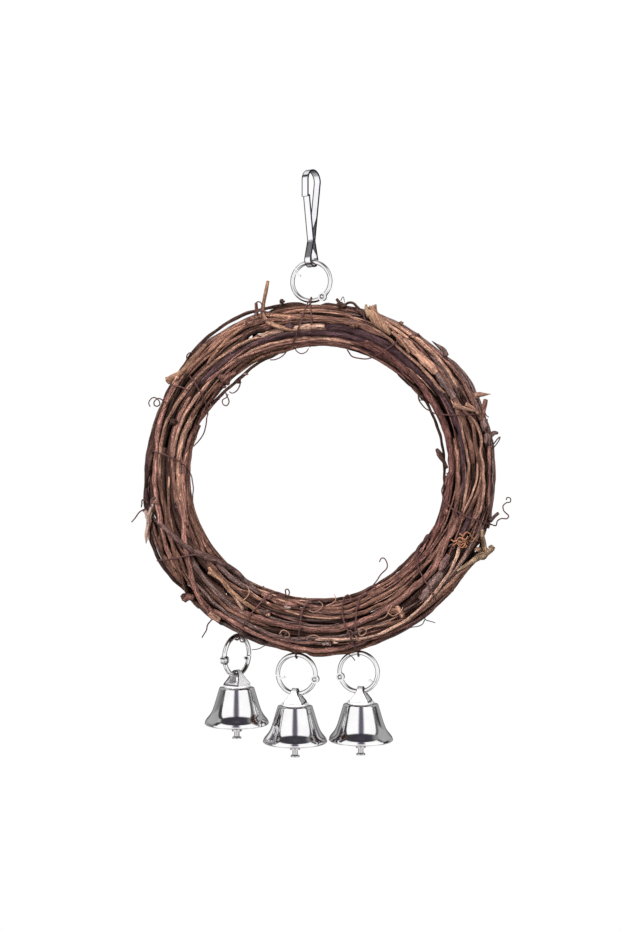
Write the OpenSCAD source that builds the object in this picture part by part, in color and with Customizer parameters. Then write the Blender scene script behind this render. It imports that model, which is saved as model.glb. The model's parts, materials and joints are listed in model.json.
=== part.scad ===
// Hanging swing for a pet bird: a wreath of wound vine on a spring hook and a split ring,
// with three small bells on split rings under it.
// The origin is where the inside of the hook's top bend rests on the bar that carries it.
// X runs to the right along the wreath, Y through its opening to the back, Z up.

/* [Wreath] */
// Diameter over the outside of the wreath
wreath_outer_d = 161; // [150:1:190]
// Diameter of the opening that the bird sits in
wreath_inner_d = 116.6; // [100:0.1:122]
// How far the outside of the wreath sits to the right of its opening
outside_right = 1.2; // [0:0.1:3]
// How far the outside of the wreath sits below its opening
outside_low = 2.9; // [0:0.1:4]
// How far the opening's centre hangs to the right of the hook
wreath_right = 2.6; // [0:0.1:5]
// Diameter of the thickest wound vine
vine_d = 2.4; // [1.8:0.1:3]
// Least gap between neighbouring turns of vine
vine_gap = 0.5; // [0.45:0.05:1.2]
// Gap between the wound vines and the core that they lie on
vine_seat = 0.2; // [0.15:0.05:0.4]
// Diameter of the vine that crosses over the turns on the left
crossing_vine_d = 3; // [2:0.1:4]

/* [Twigs and tendrils] */
// Diameter of the upright twig at the upper left
upright_twig_d = 1.8; // [1:0.1:3]
// Diameter of the broken stub at the left
left_stub_d = 3.2; // [2:0.1:4.5]
// Diameter of the forked stump at the upper right
forked_stump_d = 4.6; // [3:0.1:6]
// Diameter of the broken stub at the lower right
right_stub_d = 3; // [2:0.1:4]
// Diameter of the bark sliver at the left edge
bark_sliver_d = 1.6; // [1:0.1:2.5]
// Diameter of the curled tendrils
tendril_d = 0.8; // [0.6:0.1:1]
// Radius of a tendril's widest curl
curl_r = 1.7; // [1.3:0.1:3]

/* [Binding wire] */
// Diameter of the binding wires
binding_d = 0.7; // [0.5:0.05:1]
// Gap between a binding wire and what it is wound round
binding_gap = 0.2; // [0.15:0.05:0.5]

/* [Hook] */
// Width of the spring strip that the hook is bent from
strip_w = 3.5; // [2.5:0.1:4]
// Thickness of the spring strip
strip_t = 0.8; // [0.5:0.05:1]
// Width over the outside of the top bend
hook_w = 10.6; // [9:0.1:14]
// Height from the bearing point down to the end of the hook's tip
tip_drop = 12.2; // [10:0.1:16]
// Height from the bearing point down to the waist
waist_drop = 32; // [26:0.1:40]
// Height from the bearing point down to the underside of the eye
hook_drop = 44.1; // [42:0.1:56]
// Inner radius of the eye at the foot of the hook
eye_r = 2.5; // [2.2:0.05:3]
// Gap between the gate and the tip, the back limb and the waist
gate_gap = 0.25; // [0.2:0.05:0.4]
// Length of the gate that lies inside the tip
gate_tuck = 1; // [0.5:0.1:2]
// Turn of the hook about the vertical
hook_yaw = 55; // [50:1:65]

/* [Split rings] */
// Outer diameter of a split ring
ring_outer_d = 20; // [17:0.5:24]
// Diameter of the ring's wire
ring_wire_d = 2.1; // [1.6:0.05:2.2]
// Gap between the two lapped halves of a ring
lap_gap = 0.2; // [0.1:0.05:0.3]
// Diameter of the round lugs at the knuckle
lug_d = 3.8; // [3:0.1:4.5]
// Diameter of the rivet through the lugs
rivet_d = 1.2; // [0.8:0.1:1.5]
// Diameter of the rivet's heads
rivet_head_d = 2.6; // [2:0.1:3]
// Thickness of the rivet's heads
rivet_head_t = 0.35; // [0.2:0.05:0.6]
// Running clearance round the rivet and under its heads
rivet_clear = 0.05; // [0.03:0.01:0.08]
// Length of the finger tab that opens a ring
tab_l = 2.2; // [1:0.1:3]
// Width of the finger tab
tab_w = 1.2; // [0.8:0.1:1.6]
// Thickness of the finger tab
tab_t = 0.8; // [0.5:0.05:0.9]
// Gap between a ring's wire and the bundle of vine that it hangs at
hang_gap = 0.7; // [0.6:0.05:1.2]
// Gap between a ring's wire and the wire or strip that carries it
bearing_gap = 0.35; // [0.2:0.05:0.4]

/* [Bells] */
// Diameter of a bell's mouth
mouth_d = 29.6; // [24:0.1:30]
// Diameter of a bell's crown
crown_d = 16.6; // [14:0.1:18]
// Height of a bell from crown to lip
bell_h = 17.4; // [15:0.1:20]
// Thickness of the bell's sheet
bell_wall = 0.6; // [0.4:0.05:0.8]
// Diameter of the disc under the strap
disc_d = 12.4; // [10:0.1:13]
// Thickness of the disc
disc_t = 0.5; // [0.3:0.05:0.8]
// Width of the strap where it goes over the ring
strap_w = 3.4; // [2.5:0.1:3.8]
// Width of the strap at its foot
strap_base_w = 10; // [8:0.1:11]
// Thickness of the strap
strap_t = 0.6; // [0.4:0.05:0.8]
// Distance over the two legs of the strap at the foot
strap_foot = 9; // [8:0.1:11]
// Inner radius of the strap's arch
arch_r = 1.85; // [1.75:0.05:2.2]
// Height of the ring's wire over the crown
strap_drop = 5; // [4.6:0.1:6]
// Diameter of the eye rivet's shank through the crown
eye_rivet_d = 1.4; // [1:0.1:1.8]
// Diameter of the wire in the eyes that carry the clapper
eye_wire_d = 0.8; // [0.6:0.05:1]
// Radius of those eyes at the middle of their wire
link_r = 1.3; // [1.2:0.05:1.6]
// Diameter of the clapper's collar
collar_d = 4.6; // [3:0.1:6]
// Diameter of the clapper's stem
stem_d = 2.5; // [1.8:0.1:3]
// Diameter of the clapper's flared end
flare_d = 4.2; // [3:0.1:6]
// How far the clapper reaches below the lip
clapper_reach = 6.7; // [5:0.1:8]

/* [Hidden] */

$fn = 48;

// General helpers
function unit(v) = v / norm(v);
function lerp(a, b, share) = a + (b - a) * share;
function across(v) = [-v.y, v.x];

// One side of a bent strip: the path moved sideways, with its corners mitred
function side_point(path, i, off) =
    let (
        last = len(path) - 1,
        before = across(unit(path[max(i, 1)] - path[max(i, 1) - 1])),
        after = across(unit(path[min(i, last - 1) + 1] - path[min(i, last - 1)])),
        middle = unit(before + after)
    ) path[i] + middle * off / (middle * before);
function strip_outline(path, thickness) = concat(
    [for (i = [0 : len(path) - 1]) side_point(path, i, thickness / 2)],
    [for (i = [len(path) - 1 : -1 : 0]) side_point(path, i, -thickness / 2)]
);
function arc_points(centre, radius, from, to, steps) =
    [for (i = [0 : steps]) let (turn = lerp(from, to, i / steps)) centre + radius * [cos(turn), sin(turn)]];

// A tube with flat ends along a path in space, made of triangles
function path_tangent(path, i) = unit(path[min(i + 1, len(path) - 1)] - path[max(i - 1, 0)]);
function squared_to(v, tangent) = unit(v - (v * tangent) * tangent);
function any_side(tangent) = squared_to(abs(tangent.y) < 0.8 ? [0, 1, 0] : [1, 0, 0], tangent);
function path_sides(path) = [
    for (i = 0, side = any_side(path_tangent(path, 0));
         i < len(path);
         i = i + 1, side = i < len(path) ? squared_to(side, path_tangent(path, i)) : side) side
];
module tube(path, radii, sides) {
    rings = len(path);
    ups = path_sides(path);
    points = [
        for (i = [0 : rings - 1])
            let (up = ups[i], right = cross(path_tangent(path, i), up), r = radii[i])
                for (k = [0 : sides - 1])
                    path[i] + r * (cos(k * 360 / sides) * up + sin(k * 360 / sides) * right)
    ];
    skin = [
        for (i = [0 : rings - 2], k = [0 : sides - 1])
            let (a = i * sides + k, b = i * sides + (k + 1) % sides)
                each [[a, a + sides, b], [b, a + sides, b + sides]]
    ];
    first_cap = [for (k = [1 : sides - 2]) [0, k, k + 1]];
    far = (rings - 1) * sides;
    last_cap = [for (k = [1 : sides - 2]) [far, far + k + 1, far + k]];
    polyhedron(points, concat(skin, first_cap, last_cap));
}
function same_radii(path, radius) = [for (p = path) radius];

// Split rings, in their own upright plane round the origin
ring_r = (ring_outer_d - ring_wire_d) / 2;
wire_r = ring_wire_d / 2;
lug_t = wire_r;
wire_start_turn = 2 * asin((rivet_head_d / 2 + lap_gap) / (2 * ring_r));
lap_turn = 24;
lap_end_turn = 3;

// Hook: the strip's path lies in a plane, sideways and up, with the bearing point at zero
bend_r = (hook_w - strip_t) / 2;
bend_z = strip_t / 2 - bend_r;
waist_side = (strip_t + gate_gap) / 2;
waist_z = -waist_drop;
eye_z = eye_r + strip_t - hook_drop;
eye_path_r = eye_r + strip_t / 2;
eye_open_turn = 14;
gate_z = waist_z + gate_gap;
gate_top = [gate_gap + strip_t - bend_r, gate_tuck - tip_drop];
hook_path = concat(
    [[-bend_r, -tip_drop]],
    arc_points([0, bend_z], bend_r, 180, 0, 16),
    [[waist_side, waist_z]],
    arc_points([0, eye_z], eye_path_r, eye_open_turn, -180 - eye_open_turn, 18),
    [[-waist_side, waist_z]]
);
gate_path = [[-waist_side, gate_z], gate_top];

// Top ring: its wire lies in the foot of the hook's eye
top_ring_yaw = -14;
eye_turn = 90 + top_ring_yaw - hook_yaw;
eye_reach = strip_w / 2 / cos(eye_turn) + wire_r * tan(abs(eye_turn));
eye_sag = ring_r - sqrt(ring_r * ring_r - eye_reach * eye_reach);
top_ring_z = eye_z - eye_r + bearing_gap + eye_sag + wire_r - ring_r;
top_ring_at = [0, 0, top_ring_z];

// Wreath: one section of the bundle stands at every station round the opening, and all that
// lies on the bundle keeps to the flat faces between two stations
stations = 24;
station_turn = 360 / stations;
opening_r = wreath_inner_d / 2;
function off_centre(a) = outside_right * cos(a) - outside_low * sin(a);
function bundle_r(a) = (wreath_outer_d - wreath_inner_d) / 4 + off_centre(a) / 2;
function section_point(a, phi, rise) =
    let (r = bundle_r(a), out = opening_r + r + (r + rise) * cos(phi))
        [out * cos(a), (r + rise) * sin(phi), out * sin(a)];
function bundle_point(a, phi, rise) =
    let (s = a / station_turn, from = floor(s) * station_turn, to = from + station_turn)
        lerp(section_point(from, phi, rise), section_point(to, phi, rise), s - floor(s));
top_hanger_turn = 90 + asin(wreath_right / (opening_r + 2 * bundle_r(90)));
wreath_z = top_ring_z - ring_r - bundle_point(top_hanger_turn, 0, hang_gap + wire_r).z;
wreath_at = [wreath_right, 0, wreath_z];
function on_wreath(a, phi, rise) = wreath_at + bundle_point(a, phi, rise);

// Winding: the outer layer of turns, divided among the vines, each one unbroken
vine_count = 5;
vine_size_shares = [1, 0.9, 0.96, 0.86, 0.93];
thinnest = bundle_r(90) - vine_d / 2;
lay_share = 0.985;
most_turns = 20;
turns = min(most_turns, floor(lay_share * thinnest * 2 * PI / (vine_d + vine_gap)));
steps = turns * stations;
twist = (turns + 1) / turns;
vine_end_share = 0.75;
lane_start = 200;
core_r_drop = vine_d + vine_seat;
function lane_station(i, radius) =
    on_wreath(i * station_turn, lane_start + i * station_turn * twist, radius - core_r_drop + vine_seat);
function vine_radius(k) = vine_d / 2 * vine_size_shares[k - 1];
function vine_first(k) = floor(steps * (k - 1) / vine_count);
function vine_last(k) = floor(steps * k / vine_count) - 1;
function vine_path(k) = concat(
    [for (i = [vine_first(k) : vine_last(k)]) lane_station(i, vine_radius(k))],
    [lerp(
        lane_station(vine_last(k), vine_radius(k)),
        lane_station(vine_last(k) + 1, vine_radius(k)),
        vine_end_share
    )]
);
function least_gap(path, radius) = min([
    for (i = [0 : len(path) - 1], j = [i + floor(stations / 2) : 1 : len(path) - 1])
        norm(path[i] - path[j]) - 2 * radius
]);
for (k = [1 : vine_count])
    echo(str("least gap of vine_", k, " to itself"), least_gap(vine_path(k), vine_radius(k)));

// Crossing vine: its places round the wreath and round the bundle
crossing_turns = [[198, -36], [204, -60], [210, -88], [216, -116], [223, -138], [230, -142], [236, -134]];

// Twigs: place round the wreath, place round the bundle, rise in shares of the twig's diameter,
// and thickness in shares of it
upright_twig_shares = [
    [109.5, -42, 0, 0.9], [109.2, -32, 1.6, 1], [108.6, -22, 4, 0.9], [107.4, -15, 7.6, 0.75]
];
left_stub_shares = [[131, -38, 0, 0.7], [137, -34, 0.02, 0.95], [143, -30, 0.1, 1], [149, -22, 0.5, 0.8]];
forked_stump_shares = [[58, -76, 0, 0.55], [63, -66, 0.02, 0.75], [68, -52, 0.08, 0.95], [73, -40, 0.3, 1]];
stump_prong_shares = [[66, -50, 0.16, 0.35], [69, -38, 0.35, 0.42], [73, -22, 0.75, 0.3]];
right_stub_shares = [[-37, -62, 0, 0.7], [-32, -48, 0.03, 0.9], [-27, -36, 0.6, 1], [-23.5, -27, 1.9, 1.1]];
bark_sliver_shares = [[186, -34, 0, 0.6], [191, -24, 0.15, 1], [196, -16, 1, 0.8], [201, -12, 2.4, 0.4]];
twig_seat = 0.2;
function twig_path(shares, d) =
    [for (s = shares) on_wreath(s[0], s[1], twig_seat + d / 2 * s[3] + d * s[2])];

// Tendrils: where each one starts, which way it runs, how far in curl radii, and its curls
curl_rings = 8;
curl_shrink_share = 0.45;
curl_drift = tendril_d + vine_gap;
root_rise = tendril_d / 2 - vine_gap / 5;
function turn_near(a, phi) =
    let (pitch = 360 / turns, lane = lane_start + a * twist)
        lane + round((phi - lane) / pitch) * pitch;
function tendril_path(a, phi, heading, reach_share, curls, hand) =
    let (
        start = on_wreath(a, turn_near(a, phi), root_rise),
        ahead = [cos(heading), 0, sin(heading)],
        side = [-sin(heading), 0, cos(heading)] * hand,
        bend = start + ahead * reach_share * curl_r,
        count = ceil(curls * curl_rings)
    ) concat(
        [start, lerp(start, bend, 0.5)],
        [for (i = [0 : count])
            let (
                share = i / count,
                turn = i * 360 / curl_rings,
                r = curl_r * (1 - curl_shrink_share * share)
            ) bend + side * (curl_r - r * cos(turn)) + ahead * r * sin(turn)
                - [0, curl_drift * turn / 360, 0]]
    );

// Binding wires: loops round the bundle that drift a little round the wreath, so that the two
// ends pass side by side; a hanger dips out of the way of the ring that it carries
binding_rise = binding_gap + binding_d / 2;
binding_drift = 4;
binding_steps = 24;
binding_span = 384;
dip_turn = 28;
dip_corner_share = 0.7;
loop_r = wire_r + bearing_gap + binding_d / 2;
function binding_path(a) = [
    for (i = [0 : binding_steps])
        let (turn = (i / binding_steps - 0.5) * binding_span)
            on_wreath(a + binding_drift * turn / 360, turn, binding_rise)
];
function dip_point(a, yaw, side, drop) =
    on_wreath(a, 0, hang_gap + wire_r) + [-side * sin(yaw), side * cos(yaw), sign(sin(a)) * drop];
function hanger_path(a, yaw) =
    let (
        corner = loop_r * dip_corner_share,
        corner_drop = loop_r - binding_d / 2,
        round_steps = binding_steps / 2 - 2
    ) concat(
        [for (i = [0 : round_steps])
            let (turn = lerp(-binding_span / 2, -dip_turn, i / round_steps))
                on_wreath(a + binding_drift * turn / 360, turn, binding_rise)],
        [
            dip_point(a, yaw, -loop_r, 0),
            dip_point(a, yaw, -corner, corner_drop),
            dip_point(a, yaw, 0, loop_r),
            dip_point(a, yaw, corner, corner_drop),
            dip_point(a, yaw, loop_r, 0)
        ],
        [for (i = [0 : round_steps])
            let (turn = lerp(dip_turn, binding_span / 2, i / round_steps))
                on_wreath(a + binding_drift * turn / 360, turn, binding_rise)]
    );

// Places of the three lower rings round the wreath, their turn about the vertical, which side
// the knuckle is on, where knuckle and latch lie, and how far the bell hangs off the middle
left_hang = [-116.1, 54, -1, -7, 172, 0];
centre_hang = [-96.4, -14, 1, -13, 172, -0.035];
right_hang = [-77, -14, -1, -16, 192, 0.05];
top_knuckle_turn = -54;
top_latch_turn = 128;
function ring_at(hang) = on_wreath(hang[0], 0, hang_gap + wire_r) - [0, 0, ring_r];
function bell_side(hang) = hang[5] * ring_outer_d;
function bell_pivot(hang) =
    let (along = bell_side(hang) / cos(hang[1]))
        ring_at(hang) + [bell_side(hang), along * sin(hang[1]), -sqrt(ring_r * ring_r - along * along)];
function bell_at(hang) = bell_pivot(hang) - [0, 0, strap_drop];
function clapper_pivot(hang) = bell_at(hang) - [0, 0, eye_drop + link_r];

// Bell: depth below the crown and radius, as shares of the height and of the mouth's radius
crown_edge_r = 1.2;
flank_shares = [
    [0.316, 0.648], [0.58, 0.75], [0.69, 0.832], [0.79, 0.918], [0.9, 0.98], [0.955, 1], [1, 1]
];
eye_drop = bell_wall + link_r + eye_wire_d / 2;
eye_rivet_clear = 0.04;
head_t = 0.5;
head_d = 3;
bell_path = concat(
    [[eye_rivet_d / 2 + eye_rivet_clear, -bell_wall / 2]],
    arc_points([crown_d / 2 - crown_edge_r, -crown_edge_r], crown_edge_r - bell_wall / 2, 90, 15, 5),
    [for (s = flank_shares) [mouth_d / 2 * s[1] - bell_wall / 2, -bell_h * s[0]]]
);

// Strap: a closed tent with a round arch over the ring's wire, sideways and up from the crown
arch_z = strap_drop;
foot_z = disc_t;
tent_outer = concat(
    [[-strap_foot / 2, foot_z], [strap_foot / 2, foot_z], [strap_foot / 2, foot_z + strap_t]],
    arc_points([0, arch_z], arch_r + strap_t, 12, 168, 12),
    [[-strap_foot / 2, foot_z + strap_t]]
);
strap_face = [
    [-strap_base_w / 2, 0], [strap_base_w / 2, 0], [strap_base_w / 2, foot_z + strap_t],
    [strap_w / 2, arch_z], [strap_w / 2, 2 * strap_drop],
    [-strap_w / 2, 2 * strap_drop], [-strap_w / 2, arch_z], [-strap_base_w / 2, foot_z + strap_t]
];
tent_inner = concat(
    [[strap_foot / 2 - 2 * strap_t, foot_z + strap_t]],
    arc_points([0, arch_z], arch_r, 12, 168, 12),
    [[2 * strap_t - strap_foot / 2, foot_z + strap_t]]
);

// Clapper: heights below the crown
link_drop = link_r - eye_wire_d - bearing_gap / 2;
clapper_z = -bell_h - clapper_reach;
collar_z = clapper_z + clapper_reach / 2;
flare_t = (collar_z - clapper_z) / 6;
collar_t = (collar_z - clapper_z) / 3;
rod_d = eye_wire_d + bearing_gap;

module ring_arc(from, to) {
    rotate([90, 0, 0]) rotate([0, 0, from])
        rotate_extrude(angle = to - from) translate([ring_r, 0]) circle(r = wire_r, $fn = 24);
}

// Where a slab two wires deep starts, so that it takes away what the front (1) or back (-1) lap leaves
slab_t = 2 * ring_wire_d;
function slab_start(kept) = kept > 0 ? lap_gap / 2 - slab_t : -lap_gap / 2;

module lap_cutter(from, to, kept) {
    rotate([90, 0, 0]) rotate([0, 0, from])
        rotate_extrude(angle = to - from) translate([ring_r - slab_t / 2, slab_start(kept)]) square(slab_t);
}

module at_knuckle(knuckle) {
    translate([ring_r * cos(knuckle), 0, ring_r * sin(knuckle)]) rotate([90, 0, 0]) children();
}

module lug_relief(knuckle, kept) {
    at_knuckle(knuckle) translate([0, 0, slab_start(kept)])
        cylinder(h = slab_t, d = lug_d + 2 * lap_gap);
}

module knuckle_lug(knuckle, kept) {
    lug_start = kept > 0 ? lap_gap / 2 : -lap_gap / 2 - lug_t;
    at_knuckle(knuckle) translate([0, 0, lug_start]) cylinder(h = lug_t, d = lug_d);
}

module rivet_hole(knuckle) {
    at_knuckle(knuckle) cylinder(h = slab_t, d = rivet_d + 2 * rivet_clear, center = true);
}

// The half that runs on from the knuckle, in front at both laps
module first_half(knuckle, latch) {
    color("gainsboro") difference() {
        union() {
            difference() {
                ring_arc(knuckle + wire_start_turn, latch + lap_turn / 2);
                lap_cutter(latch - lap_turn / 2, latch + lap_turn, 1);
                lug_relief(knuckle, 1);
            }
            knuckle_lug(knuckle, 1);
            children();
        }
        rivet_hole(knuckle);
    }
}

// The half that comes back to the knuckle, behind at both laps
module second_half(knuckle, latch) {
    color("silver") difference() {
        union() {
            difference() {
                ring_arc(latch - lap_turn / 2 + lap_end_turn, knuckle + 360 - wire_start_turn);
                lap_cutter(latch - lap_turn, latch + lap_turn / 2 + lap_end_turn, -1);
                lug_relief(knuckle, -1);
            }
            knuckle_lug(knuckle, -1);
            children();
        }
        rivet_hole(knuckle);
    }
}

// Small tongue that a fingernail pushes, on the inside of a half near its latch
module finger_tab(turn) {
    half = tab_w / 2;
    rotate([0, -turn, 0]) rotate([90, 0, 0]) linear_extrude(height = tab_t, center = true)
        polygon(concat(
            [[ring_r, half]],
            arc_points([ring_r - wire_r - tab_l + half, 0], half, 90, 270, 8),
            [[ring_r, -half]]
        ));
}

module ring_rivet(knuckle) {
    color("white") at_knuckle(knuckle) {
        cylinder(h = lap_gap + 2 * (lug_t + rivet_clear) + rivet_head_t, d = rivet_d, center = true);
        for (face = [-1, 1])
            translate([0, 0, face * (lap_gap / 2 + lug_t + rivet_clear + rivet_head_t / 2)])
                cylinder(h = rivet_head_t, d = rivet_head_d, center = true);
    }
}

module place_top_ring() {
    translate(top_ring_at) rotate([0, 0, top_ring_yaw]) children();
}

module place_ring(hang) {
    translate(ring_at(hang)) rotate([0, 0, hang[1]]) mirror([hang[2] < 0 ? 1 : 0, 0, 0]) children();
}

module top_ring_main_half() {
    place_top_ring() second_half(top_knuckle_turn, top_latch_turn) finger_tab(top_latch_turn + lap_turn);
}

module top_ring_leaf_half() {
    place_top_ring() first_half(top_knuckle_turn, top_latch_turn);
}

module top_ring_rivet() {
    place_top_ring() ring_rivet(top_knuckle_turn);
}

module lower_ring_main_half(hang) {
    place_ring(hang) first_half(hang[3], hang[4]);
}

module lower_ring_leaf_half(hang) {
    place_ring(hang) second_half(hang[3], hang[4]) finger_tab(hang[4] + lap_turn);
}

module lower_ring_rivet(hang) {
    place_ring(hang) ring_rivet(hang[3]);
}

// A flat strip bent along a path in the hook's plane
module hook_bent(path) {
    color("gainsboro") rotate([0, 0, hook_yaw]) rotate([90, 0, 0])
        linear_extrude(height = strip_w, center = true) polygon(strip_outline(path, strip_t));
}

module hook_strip() {
    hook_bent(hook_path);
}

module hook_gate() {
    hook_bent(gate_path);
}

// The bundle inside the outer layer of turns
module vine_core() {
    sides = 12;
    points = [
        for (i = [0 : stations - 1], k = [0 : sides - 1])
            on_wreath(i * station_turn, k * 360 / sides, -core_r_drop)
    ];
    faces = [
        for (i = [0 : stations - 1], k = [0 : sides - 1])
            let (
                j = (i + 1) % stations,
                m = (k + 1) % sides,
                a = i * sides + k,
                b = i * sides + m,
                c = j * sides + k,
                d = j * sides + m
            ) each [[a, c, b], [b, c, d]]
    ];
    color([0.27, 0.19, 0.15]) polyhedron(points, faces);
}

module wound_vine(k) {
    path = vine_path(k);
    tube(path, same_radii(path, vine_radius(k)), 6);
}

module crossing_vine() {
    path = [for (t = crossing_turns) on_wreath(t[0], t[1], twig_seat + crossing_vine_d / 2)];
    color([0.36, 0.27, 0.28]) tube(path, same_radii(path, crossing_vine_d / 2), 8);
}

module twig(shares, d) {
    tube(twig_path(shares, d), [for (s = shares) d / 2 * s[3]], 8);
}

module forked_stump() {
    color([0.6, 0.47, 0.36]) union() {
        twig(forked_stump_shares, forked_stump_d);
        twig(stump_prong_shares, forked_stump_d);
    }
}

module tendril(a, phi, heading, reach_share, curls, hand) {
    path = tendril_path(a, phi, heading, reach_share, curls, hand);
    color([0.42, 0.27, 0.2]) tube(path, same_radii(path, tendril_d / 2), 6);
}

module binding_wire(a) {
    path = binding_path(a);
    color([0.45, 0.25, 0.2]) tube(path, same_radii(path, binding_d / 2), 6);
}

module hanger_wire(a, yaw) {
    path = hanger_path(a, yaw);
    color([0.45, 0.25, 0.2]) tube(path, same_radii(path, binding_d / 2), 6);
}

module bell_shell(hang) {
    color("lightgray") translate(bell_at(hang))
        rotate_extrude() polygon(strip_outline(bell_path, bell_wall));
}

module bell_disc(hang) {
    color("whitesmoke") translate(bell_at(hang)) difference() {
        cylinder(h = disc_t, d = disc_d);
        translate([0, 0, -disc_t]) cylinder(h = 3 * disc_t, d = eye_rivet_d + 2 * eye_rivet_clear);
    }
}

module bell_strap(hang) {
    color("whitesmoke") translate(bell_at(hang)) rotate([0, 0, hang[1]]) difference() {
        intersection() {
            rotate([90, 0, 90]) linear_extrude(height = strap_base_w, center = true) difference() {
                polygon(tent_outer);
                polygon(tent_inner);
            }
            rotate([90, 0, 0]) linear_extrude(height = 2 * strap_foot, center = true)
                polygon(strap_face);
            cylinder(h = 2 * strap_drop, d = disc_d);
        }
        cylinder(h = disc_t + 2 * strap_t, d = eye_rivet_d + 2 * eye_rivet_clear);
    }
}

module link_eye() {
    rotate_extrude() translate([link_r, 0]) circle(d = eye_wire_d, $fn = 24);
}

module bell_eye_rivet(hang) {
    head_z = disc_t + strap_t;
    color("gray") translate(bell_at(hang)) {
        translate([0, 0, head_z]) cylinder(h = head_t, d = head_d);
        translate([0, 0, -bell_wall - eye_wire_d / 2])
            cylinder(h = head_z + bell_wall + eye_wire_d, d = eye_rivet_d);
        translate([0, 0, -eye_drop]) rotate([90, 0, 0]) link_eye();
    }
}

module bell_clapper(hang) {
    own_eye_z = -eye_drop - link_r - link_drop;
    top_z = own_eye_z - link_r;
    color("dimgray") translate(bell_at(hang)) {
        translate([0, 0, own_eye_z]) rotate([0, 90, 0]) link_eye();
        translate([0, 0, collar_z]) cylinder(h = top_z - collar_z, d = rod_d);
        translate([0, 0, collar_z]) cylinder(h = collar_t, d = collar_d);
        translate([0, 0, clapper_z]) cylinder(h = collar_z - clapper_z, d = stem_d);
        translate([0, 0, clapper_z + flare_t]) cylinder(h = flare_t, d1 = flare_d, d2 = stem_d);
        translate([0, 0, clapper_z]) cylinder(h = flare_t, d = flare_d);
    }
}

hook_strip();
hook_gate();
top_ring_main_half();
top_ring_leaf_half();
top_ring_rivet();
vine_core();
color([0.48, 0.36, 0.29]) wound_vine(1);  // vine_1
color([0.4, 0.29, 0.26]) wound_vine(2);  // vine_2
color([0.52, 0.39, 0.3]) wound_vine(3);  // vine_3
color([0.38, 0.28, 0.29]) wound_vine(4);  // vine_4
color([0.45, 0.33, 0.26]) wound_vine(5);  // vine_5
crossing_vine();
color([0.62, 0.48, 0.36]) twig(upright_twig_shares, upright_twig_d);  // upright_twig
color([0.62, 0.5, 0.38]) twig(left_stub_shares, left_stub_d);  // left_stub
forked_stump();
color([0.58, 0.45, 0.34]) twig(right_stub_shares, right_stub_d);  // right_stub
color([0.5, 0.36, 0.28]) twig(bark_sliver_shares, bark_sliver_d);  // bark_sliver
tendril(181, 10, 200, 3, 1.3, 1);  // left_tendril
tendril(157, -14, 170, 1.6, 1.6, -1);  // upper_left_tendril
tendril(136, 184, -45, 1.6, 1.4, 1);  // inner_tendril
tendril(226, -4, 235, 2.2, 1, -1);  // lower_left_tendril
tendril(-12, -16, 40, 2.4, 1.5, -1);  // right_tendril
hanger_wire(top_hanger_turn, top_ring_yaw);  // top_hanger_wire
hanger_wire(left_hang[0], left_hang[1]);  // left_hanger_wire
hanger_wire(centre_hang[0], centre_hang[1]);  // centre_hanger_wire
hanger_wire(right_hang[0], right_hang[1]);  // right_hanger_wire
union() {  // binding_wires_left
    binding_wire(149);
    binding_wire(180);
}
union() {  // binding_wires_right
    binding_wire(-46);
    binding_wire(-14);
    binding_wire(27);
    binding_wire(48);
}
lower_ring_main_half(left_hang);  // left_ring_main_half
lower_ring_leaf_half(left_hang);  // left_ring_leaf_half
lower_ring_rivet(left_hang);  // left_ring_rivet
lower_ring_main_half(centre_hang);  // centre_ring_main_half
lower_ring_leaf_half(centre_hang);  // centre_ring_leaf_half
lower_ring_rivet(centre_hang);  // centre_ring_rivet
lower_ring_main_half(right_hang);  // right_ring_main_half
lower_ring_leaf_half(right_hang);  // right_ring_leaf_half
lower_ring_rivet(right_hang);  // right_ring_rivet
bell_shell(left_hang);  // left_bell_shell
bell_disc(left_hang);  // left_bell_disc
bell_strap(left_hang);  // left_bell_strap
bell_eye_rivet(left_hang);  // left_bell_eye_rivet
bell_clapper(left_hang);  // left_bell_clapper
bell_shell(centre_hang);  // centre_bell_shell
bell_disc(centre_hang);  // centre_bell_disc
bell_strap(centre_hang);  // centre_bell_strap
bell_eye_rivet(centre_hang);  // centre_bell_eye_rivet
bell_clapper(centre_hang);  // centre_bell_clapper
bell_shell(right_hang);  // right_bell_shell
bell_disc(right_hang);  // right_bell_disc
bell_strap(right_hang);  // right_bell_strap
bell_eye_rivet(right_hang);  // right_bell_eye_rivet
bell_clapper(right_hang);  // right_bell_clapper
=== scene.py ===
import json
import math
import random

import bpy
import numpy as np
from mathutils import Matrix, Vector


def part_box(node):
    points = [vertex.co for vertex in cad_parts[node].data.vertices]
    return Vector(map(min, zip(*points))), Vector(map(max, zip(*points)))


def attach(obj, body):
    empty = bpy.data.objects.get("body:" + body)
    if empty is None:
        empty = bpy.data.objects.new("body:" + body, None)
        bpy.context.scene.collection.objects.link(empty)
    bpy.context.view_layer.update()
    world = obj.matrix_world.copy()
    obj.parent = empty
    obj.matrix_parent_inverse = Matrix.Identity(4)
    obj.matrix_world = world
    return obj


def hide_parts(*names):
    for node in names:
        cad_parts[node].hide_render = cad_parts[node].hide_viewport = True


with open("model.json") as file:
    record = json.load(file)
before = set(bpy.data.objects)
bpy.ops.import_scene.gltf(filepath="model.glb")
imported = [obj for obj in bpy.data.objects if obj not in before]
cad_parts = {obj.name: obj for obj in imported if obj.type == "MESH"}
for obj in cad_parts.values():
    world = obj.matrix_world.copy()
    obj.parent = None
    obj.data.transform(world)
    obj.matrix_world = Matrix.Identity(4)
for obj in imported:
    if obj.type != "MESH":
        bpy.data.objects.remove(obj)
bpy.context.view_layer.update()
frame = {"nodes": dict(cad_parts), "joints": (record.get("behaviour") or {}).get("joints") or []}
scene = bpy.context.scene
JOINTS = {joint["name"]: joint for joint in frame["joints"]}
MM = 0.001
UP = np.array([0, 0, 1.0])
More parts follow.
